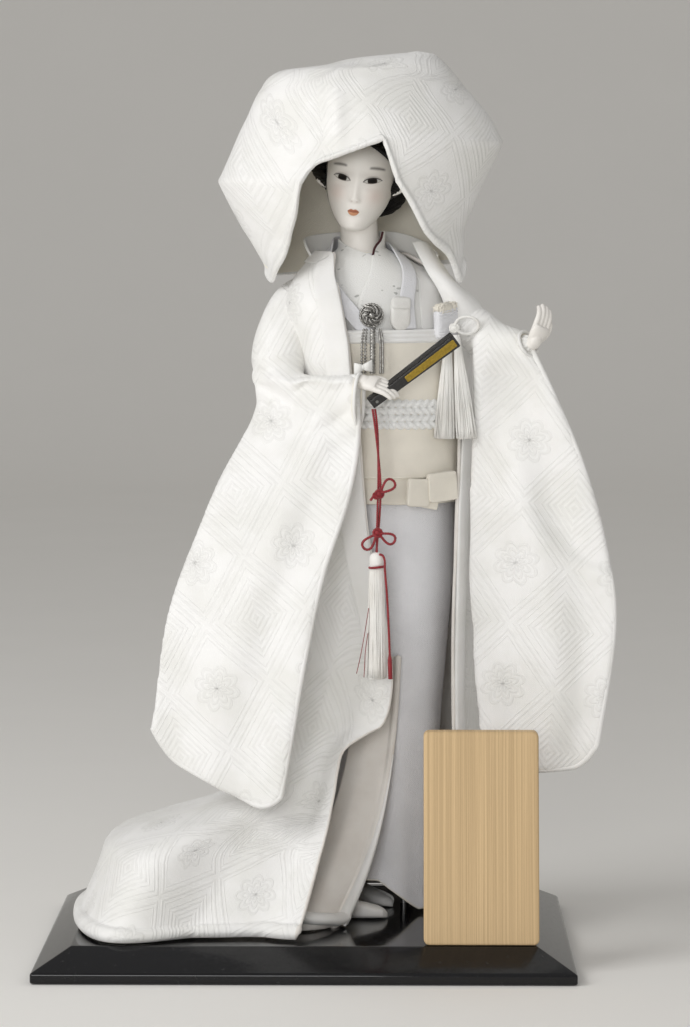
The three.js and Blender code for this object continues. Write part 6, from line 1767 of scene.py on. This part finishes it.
def fan_bar(y_low, y_high, from_x, to_x, share):
    """A tapered bar of the fan: a rounded rectangle section that widens evenly from butt to tip."""
    x = np.concatenate([[from_x, from_x + 0.15], np.linspace(from_x + 0.5, to_x - 0.5, 20),
                        [to_x - 0.15, to_x]])
    half = 0.5 * share * mix(*FAN_WIDTHS, x / FAN_LENGTH)
    end = np.ones_like(x)
    end[[0, -1]], end[[1, -2]] = 0.82, 0.95
    turn = full_turn(33)[None, :]
    y = (y_low + y_high) / 2 + 0.5 * (y_high - y_low) * bent(np.sin(turn), 0.28) * end[:, None]
    z = half[:, None] * end[:, None] * bent(np.cos(turn), 0.28)
    return in_fan(np.stack([x[:, None] + 0 * turn, y, z], -1))


def make_fan():
    """The closed fan: two lacquered guards, and a strip of gold leaf set in the front one's outer
    face."""
    front = Patchwork().capped(fan_bar(-3.3, -2.0, from_x=0, to_x=FAN_LENGTH, share=1.0))
    front.capped(fan_bar(-3.62, -3.1, from_x=24, to_x=58.6, share=0.62), 1)
    piece("fan_front", front, ["fan", "brass"], "right_hand", "fan_lacquer", ["fan_guard_front"])
    rear = Patchwork().capped(fan_bar(2.0, 3.3, from_x=0, to_x=FAN_LENGTH, share=1.0))
    piece("fan_rear", rear, ["fan"], "right_hand", "fan_lacquer", ["fan_guard_rear"])


def knot_grids(patch, middle, size):
    """A small tied knot: two tilted turns of cord round a filled middle."""
    ring = full_turn(36)
    coil = np.stack([size * np.cos(ring), size * np.sin(ring), 0 * ring], -1)
    patch.add(pillow((size * 0.8,) * 3, rows=12, cols=16) + middle)
    for x, y in ((62, 20), (100, -24)):
        patch.add(twisted(coil @ turning(x=x, y=y) + middle, 0.85, 2.6, **LAY))


def loop_path(middle, tip, wide, count=60):
    """A teardrop loop from a knot out to a tip and back, opening to its width two thirds of the way."""
    t = full_turn(count)
    way = np.array(tip, float)
    across = unit(np.cross(way, (0, 1, 0)))
    out = (0.5 - 0.5 * np.cos(t))[:, None]
    side = (np.sin(t) * np.sin(t / 2) ** 2)[:, None]
    return middle + way * out + across * side * wide + np.array([0, -0.8, 0]) * np.sin(t / 2)[:, None]


def make_cord():
    """The red cord: two laid lines side by side down one route, tied in two bows on the way."""
    route = curve(FAN_CORD_ROUTE, 140)
    patch = Patchwork()
    run = np.linspace(0, 1, 140)
    for side in (-1, 1):
        away = np.stack([side * 0.72 * np.cos(run * 5), 0.72 * side * np.sin(run * 5), 0 * run], -1)
        patch.capped(twisted(route + away, 0.72, 2.4, **LAY))
    cord = piece("fan_cord_red", patch, ["red"], "cord", "red_silk", ["fan_cord"])
    world, length = in_world(route)
    bows = []
    for name, share, size, loops, tails in (
        ("fan_bow_upper", 0.585, 2.2, (((8.0, 0, 7.4), 4.6), ((-3.0, 0, -1.5), 2.2)), ((-5.0, -3.6),)),
        ("fan_bow_lower", 0.855, 2.3, (((-7.6, 0, -8.6), 4.4), ((9.6, 0, -4.6), 4.4)), ()),
    ):
        middle = route[int(share * 139)] + [0, -1.2, 0]
        patch = Patchwork()
        knot_grids(patch, middle, size)
        for tip, wide in loops:
            patch.add(twisted(loop_path(middle, tip, wide), 0.82, 2.6, **LAY))
        for x, z in tails:
            end = curve([middle, middle + [0.6 * x, -1, 0.3 * z], middle + [x, -0.6, z]], 16)
            patch.capped(twisted(end, 0.82, 2.6, **LAY))
        bows.append(piece(name + "_loops", patch, ["red"], "cord", "red_silk", [name]))
    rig.cord(cord, exit=world[0], length=length, diameter=0.0028, far_end="object", stiffness="limp",
            lay="hanging", path=world[::4], with_pieces=bows)


def make_tassel():
    """The fan's tassel: a wound head, white threads, and a red cord that rings the head, hangs beside the
    threads and ends in a bound tip, with two loose red threads on the other side."""
    top = FAN_CORD_ROUTE[-1].copy()
    patch = Patchwork()
    head = pillow((3.9, 3.5, 4.6), (0.75, 1.0), rows=40, cols=40)
    head = head * (1 + 0.03 * np.abs(np.sin(head[..., 2:3] * 3.2)))
    patch.add(head + top + [0, 0, -3.2])
    tassel_grids(patch, top + [0, 0, -5.0], length=68, r_top=3.6, r_bottom=5.9, count=84, seed=11)
    piece("fan_tassel_threads", patch, ["thread"], "tassel", "white_silk", ["fan_tassel"])
    side = np.array([
        [1.5, -2.7, 0.6], [3.5, -3.0, -0.2], [4.6, -3.4, -3.0], [4.7, -3.6, -7.4], [6.0, -3.8, -24],
        [7.1, -3.8, -46], [7.9, -3.8, -70],
    ])
    path = curve(side + top, 110)
    radius = 0.72 + 0.7 * ease(np.linspace(0, 1, 110), 0.80, 0.86)
    patch = Patchwork().capped(twisted(path, radius[:, None], 2.4, lobes=2, depth=0.28, sides=12))
    strand = piece("fan_tassel_red", patch, ["red"], "tassel", "red_silk", ["fan_tassel_strand"])
    turn = full_turn(49)
    ring = np.stack([4.0 * np.cos(turn), 3.7 * np.sin(turn), -6.9 + 0.4 * np.cos(turn)], -1)
    patch = Patchwork().add(sweep(ring + top, 0.72, sides=12))
    for line in ([[-4.4, -2.6, -30], [-6.6, -3.6, -44], [-9.0, -3.8, -57], [-11.2, -3.6, -67]],
                 [[-4.8, -2.8, -44], [-6.2, -3.6, -54], [-6.6, -3.8, -61], [-7.0, -3.6, -69]]):
        patch.capped(sweep(curve(np.array(line) + top, 24), 0.22, 8))
    binding = piece("fan_tassel_binding", patch, ["red"], "tassel", "red_silk")
    world, length = in_world(path)
    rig.cord(strand, exit=world[0], length=length, diameter=0.0017, far_end="bare", stiffness="limp",
            lay="hanging", path=world[::3], with_pieces=[binding])


def make_wadding():
    """The wadding in the train: its solid's own skin on a voxel grid, relaxed into a soft pad."""
    source = NODES["train_wadding"]
    obj = bpy.data.objects.new("train_wadding_pad", source.data.copy())
    obj.data.materials.clear()
    settle(obj, ["wadding"], "doll", "wadding", ["train_wadding"])
    weld(obj.data, PAD_WELD, False)
    fused(obj, PAD_VOXEL, rounds=4)
    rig.padded(obj, fill=0.5)


# The stage

def make_stage():
    """A pale floor, three soft lights, an even room and the camera at the photograph's angle."""
    stage = bpy.context.scene.doll_stage
    finish = Finish("pale floor", tuple(stage.floor), 0.75, Specular_IOR_Level=0.2)
    cloud = finish.noise(6, 3)
    finish.set("Base Color",
               finish.blend(cloud, tuple(c * 0.97 for c in stage.floor), tuple(stage.floor)))
    bend = np.linspace(0, np.pi / 2, 25)
    rise = np.column_stack([3.4 + 1.2 * np.sin(bend), 1.2 - 1.2 * np.cos(bend)])
    rows = np.concatenate([[[-9, 0]], rise, [[4.6, 6]]])
    sides = np.stack([np.column_stack([np.full(len(rows), x), rows[:, 0], rows[:, 1] - 0.0005])
                      for x in (-9, 9)], 1)
    mesh = bpy.data.meshes.new("floor")
    first = np.arange(len(rows) - 1)[:, None] * 2
    mesh.from_pydata(sides.reshape(-1, 3).tolist(), [], (first + [0, 1, 3, 2]).tolist())
    shade_smooth(mesh)
    mesh.materials.append(finish.material)
    floor = link(bpy.data.objects.new("floor", mesh))
    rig.stage(floor)
    world = bpy.data.worlds.new("room")
    world.use_nodes = True
    world.node_tree.nodes["Background"].inputs["Color"].default_value = (1.0, 0.99, 0.975, 1)
    world.node_tree.nodes["Background"].inputs["Strength"].default_value = stage.room
    bpy.context.scene.world = world
    for name, at, power, size in (("key", (-1.45, -1.05, 1.3), stage.key, 1.0),
                                  ("fill", (1.5, -1.2, 0.9), stage.fill, 1.4),
                                  ("front", (-0.25, -1.95, 0.6), stage.front, 0.7)):
        lamp = bpy.data.lights.new(name, "AREA")
        lamp.energy, lamp.size = power, size
        obj = link(bpy.data.objects.new(name, lamp))
        aim = np.array(LIGHT_AIM) - at
        obj.matrix_world = Matrix.Translation(at) @ look(aim)
    camera = bpy.data.cameras.new("camera")
    camera.sensor_width, camera.lens = SENSOR, SENSOR * CAMERA["focal"] / CAMERA["height"]
    camera.clip_end = 50.0
    obj = link(bpy.data.objects.new("camera", camera))
    pitch, yaw = math.radians(CAMERA["pitch"]), math.radians(CAMERA["yaw"])
    aim = (-math.sin(yaw) * math.cos(pitch), math.cos(yaw) * math.cos(pitch), math.sin(pitch))
    obj.matrix_world = Matrix.Translation(CAMERA["at"]) @ look(aim)
    bpy.context.scene.camera = obj
    bpy.context.scene.view_settings.view_transform = "Standard"
    bpy.context.scene.view_settings.look = "None"


def look(aim):
    """A turn that points minus Z along an aim, with Y kept upwards."""
    return Vector(aim).to_track_quat("-Z", "Y").to_matrix().to_4x4()


# Operators, panel and registration

class DOLL_OT_finishes(bpy.types.Operator):
    """Make the finishes and give the inner solids theirs"""

    bl_idname = "doll.finishes"
    bl_label = "Finishes"

    def execute(self, context):
        make_finishes(context.scene.doll_cloth, context.scene.doll_stand)
        finish_inner_solids()
        return {"FINISHED"}


class DOLL_OT_stage(bpy.types.Operator):
    """Make the floor, the lights and the camera"""

    bl_idname = "doll.stage"
    bl_label = "Stage"

    def execute(self, context):
        make_stage()
        return {"FINISHED"}


class DOLL_OT_cord(bpy.types.Operator):
    """Make the fan's red cord and its two bows"""

    bl_idname = "doll.cord"
    bl_label = "Red cord"

    def execute(self, context):
        make_cord()
        return {"FINISHED"}


class DOLL_OT_tassel(bpy.types.Operator):
    """Make the fan's tassel and its red strand"""

    bl_idname = "doll.tassel"
    bl_label = "Tassel"

    def execute(self, context):
        make_tassel()
        return {"FINISHED"}


class DOLL_OT_fan(bpy.types.Operator):
    """Make the closed fan"""

    bl_idname = "doll.fan"
    bl_label = "Fan"

    def execute(self, context):
        make_fan()
        return {"FINISHED"}


class DOLL_OT_board(bpy.types.Operator):
    """Make the lacquered board"""

    bl_idname = "doll.board"
    bl_label = "Board"

    def execute(self, context):
        make_board()
        return {"FINISHED"}


class DOLL_OT_name_board(bpy.types.Operator):
    """Make the bare wooden name board"""

    bl_idname = "doll.name_board"
    bl_label = "Name board"

    def execute(self, context):
        make_name_board()
        return {"FINISHED"}


class DOLL_OT_feet(bpy.types.Operator):
    """Make the socked feet"""

    bl_idname = "doll.feet"
    bl_label = "Feet"

    def execute(self, context):
        make_feet()
        return {"FINISHED"}


class DOLL_OT_hands(bpy.types.Operator):
    """Make the hands"""

    bl_idname = "doll.hands"
    bl_label = "Hands"

    def execute(self, context):
        make_hands()
        return {"FINISHED"}


class DOLL_OT_head(bpy.types.Operator):
    """Make the head and its painted face"""

    bl_idname = "doll.head"
    bl_label = "Head"

    def execute(self, context):
        make_head()
        return {"FINISHED"}


class DOLL_OT_hair(bpy.types.Operator):
    """Make the wig"""

    bl_idname = "doll.hair"
    bl_label = "Hair"

    def execute(self, context):
        make_hair()
        return {"FINISHED"}


class DOLL_OT_kimono(bpy.types.Operator):
    """Make the inner kimono and its collars"""

    bl_idname = "doll.kimono"
    bl_label = "Kimono"

    def execute(self, context):
        make_kimono()
        make_collars()
        return {"FINISHED"}


class DOLL_OT_obi(bpy.types.Operator):
    """Make the wide sash, its scarf, cord and bow"""

    bl_idname = "doll.obi"
    bl_label = "Obi"

    def execute(self, context):
        make_obi()
        return {"FINISHED"}


class DOLL_OT_sash(bpy.types.Operator):
    """Make the narrow sash and its bow"""

    bl_idname = "doll.sash"
    bl_label = "Sash"

    def execute(self, context):
        make_sash()
        return {"FINISHED"}


class DOLL_OT_robe(bpy.types.Operator):
    """Make the outer robe, its collar and left lapel, and the wadding in its train"""

    bl_idname = "doll.robe"
    bl_label = "Robe"

    def execute(self, context):
        make_robe()
        make_robe_collar()
        make_lapel()
        make_wadding()
        return {"FINISHED"}


class DOLL_OT_second_layer(bpy.types.Operator):
    """Make the second layer's collar and padded hem"""

    bl_idname = "doll.second_layer"
    bl_label = "Second layer"

    def execute(self, context):
        make_second_collar()
        make_second_hem()
        return {"FINISHED"}


class DOLL_OT_sleeves(bpy.types.Operator):
    """Make both sleeves and their cuffs"""

    bl_idname = "doll.sleeves"
    bl_label = "Sleeves"

    def execute(self, context):
        make_sleeves()
        return {"FINISHED"}


class DOLL_OT_hood(bpy.types.Operator):
    """Make the hood"""

    bl_idname = "doll.hood"
    bl_label = "Hood"

    def execute(self, context):
        make_hood()
        return {"FINISHED"}


class DOLL_OT_purse(bpy.types.Operator):
    """Make the pouch"""

    bl_idname = "doll.purse"
    bl_label = "Purse"

    def execute(self, context):
        make_purse()
        return {"FINISHED"}


class DOLL_OT_ornament(bpy.types.Operator):
    """Make the silver ornament and its chains"""

    bl_idname = "doll.ornament"
    bl_label = "Ornament"

    def execute(self, context):
        make_ornament()
        return {"FINISHED"}


class DOLL_OT_dagger(bpy.types.Operator):
    """Make the dagger's bag, loop and tassels"""

    bl_idname = "doll.dagger"
    bl_label = "Dagger"

    def execute(self, context):
        make_dagger()
        return {"FINISHED"}


OPERATORS = (
    DOLL_OT_finishes, DOLL_OT_stage, DOLL_OT_cord, DOLL_OT_tassel, DOLL_OT_fan,
    DOLL_OT_board, DOLL_OT_name_board, DOLL_OT_feet, DOLL_OT_hands, DOLL_OT_head,
    DOLL_OT_hair, DOLL_OT_kimono, DOLL_OT_obi, DOLL_OT_sash, DOLL_OT_robe,
    DOLL_OT_second_layer, DOLL_OT_sleeves, DOLL_OT_hood, DOLL_OT_purse, DOLL_OT_ornament,
    DOLL_OT_dagger,
)


class DOLL_PT_panel(bpy.types.Panel):
    """Sidebar list of the steps and settings."""

    bl_idname = "DOLL_PT_panel"
    bl_label = "Bride doll"
    bl_space_type = "VIEW_3D"
    bl_region_type = "UI"
    bl_category = "Bride doll"

    def draw(self, context):
        for group in (context.scene.doll_cloth, context.scene.doll_stand, context.scene.doll_stage):
            for name in group.__annotations__:
                self.layout.prop(group, name)
        for step in OPERATORS:
            self.layout.operator(step.bl_idname)


SETTINGS = {"doll_cloth": DollCloth, "doll_stand": DollStand, "doll_stage": DollStage}


def register():
    """Registers the settings, the operators and the panel."""
    for name, group in SETTINGS.items():
        bpy.utils.register_class(group)
        setattr(bpy.types.Scene, name, bpy.props.PointerProperty(type=group))
    for step in OPERATORS:
        bpy.utils.register_class(step)
    bpy.utils.register_class(DOLL_PT_panel)


def unregister():
    """Takes them back in reverse order."""
    bpy.utils.unregister_class(DOLL_PT_panel)
    for step in reversed(OPERATORS):
        bpy.utils.unregister_class(step)
    for name, group in reversed(list(SETTINGS.items())):
        delattr(bpy.types.Scene, name)
        bpy.utils.unregister_class(group)


def main():
    """Builds everything in order and writes the two boxes down."""
    register()
    for step in OPERATORS:
        getattr(bpy.ops.doll, step.bl_idname.split(".")[1])()
    seen = [[float(value) for value in corner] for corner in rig.bounds()]
    with open("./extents.json", "w") as out:
        json.dump({"cad": CAD_BOX, "visual": seen}, out)


if __name__ == "__main__":
    main()
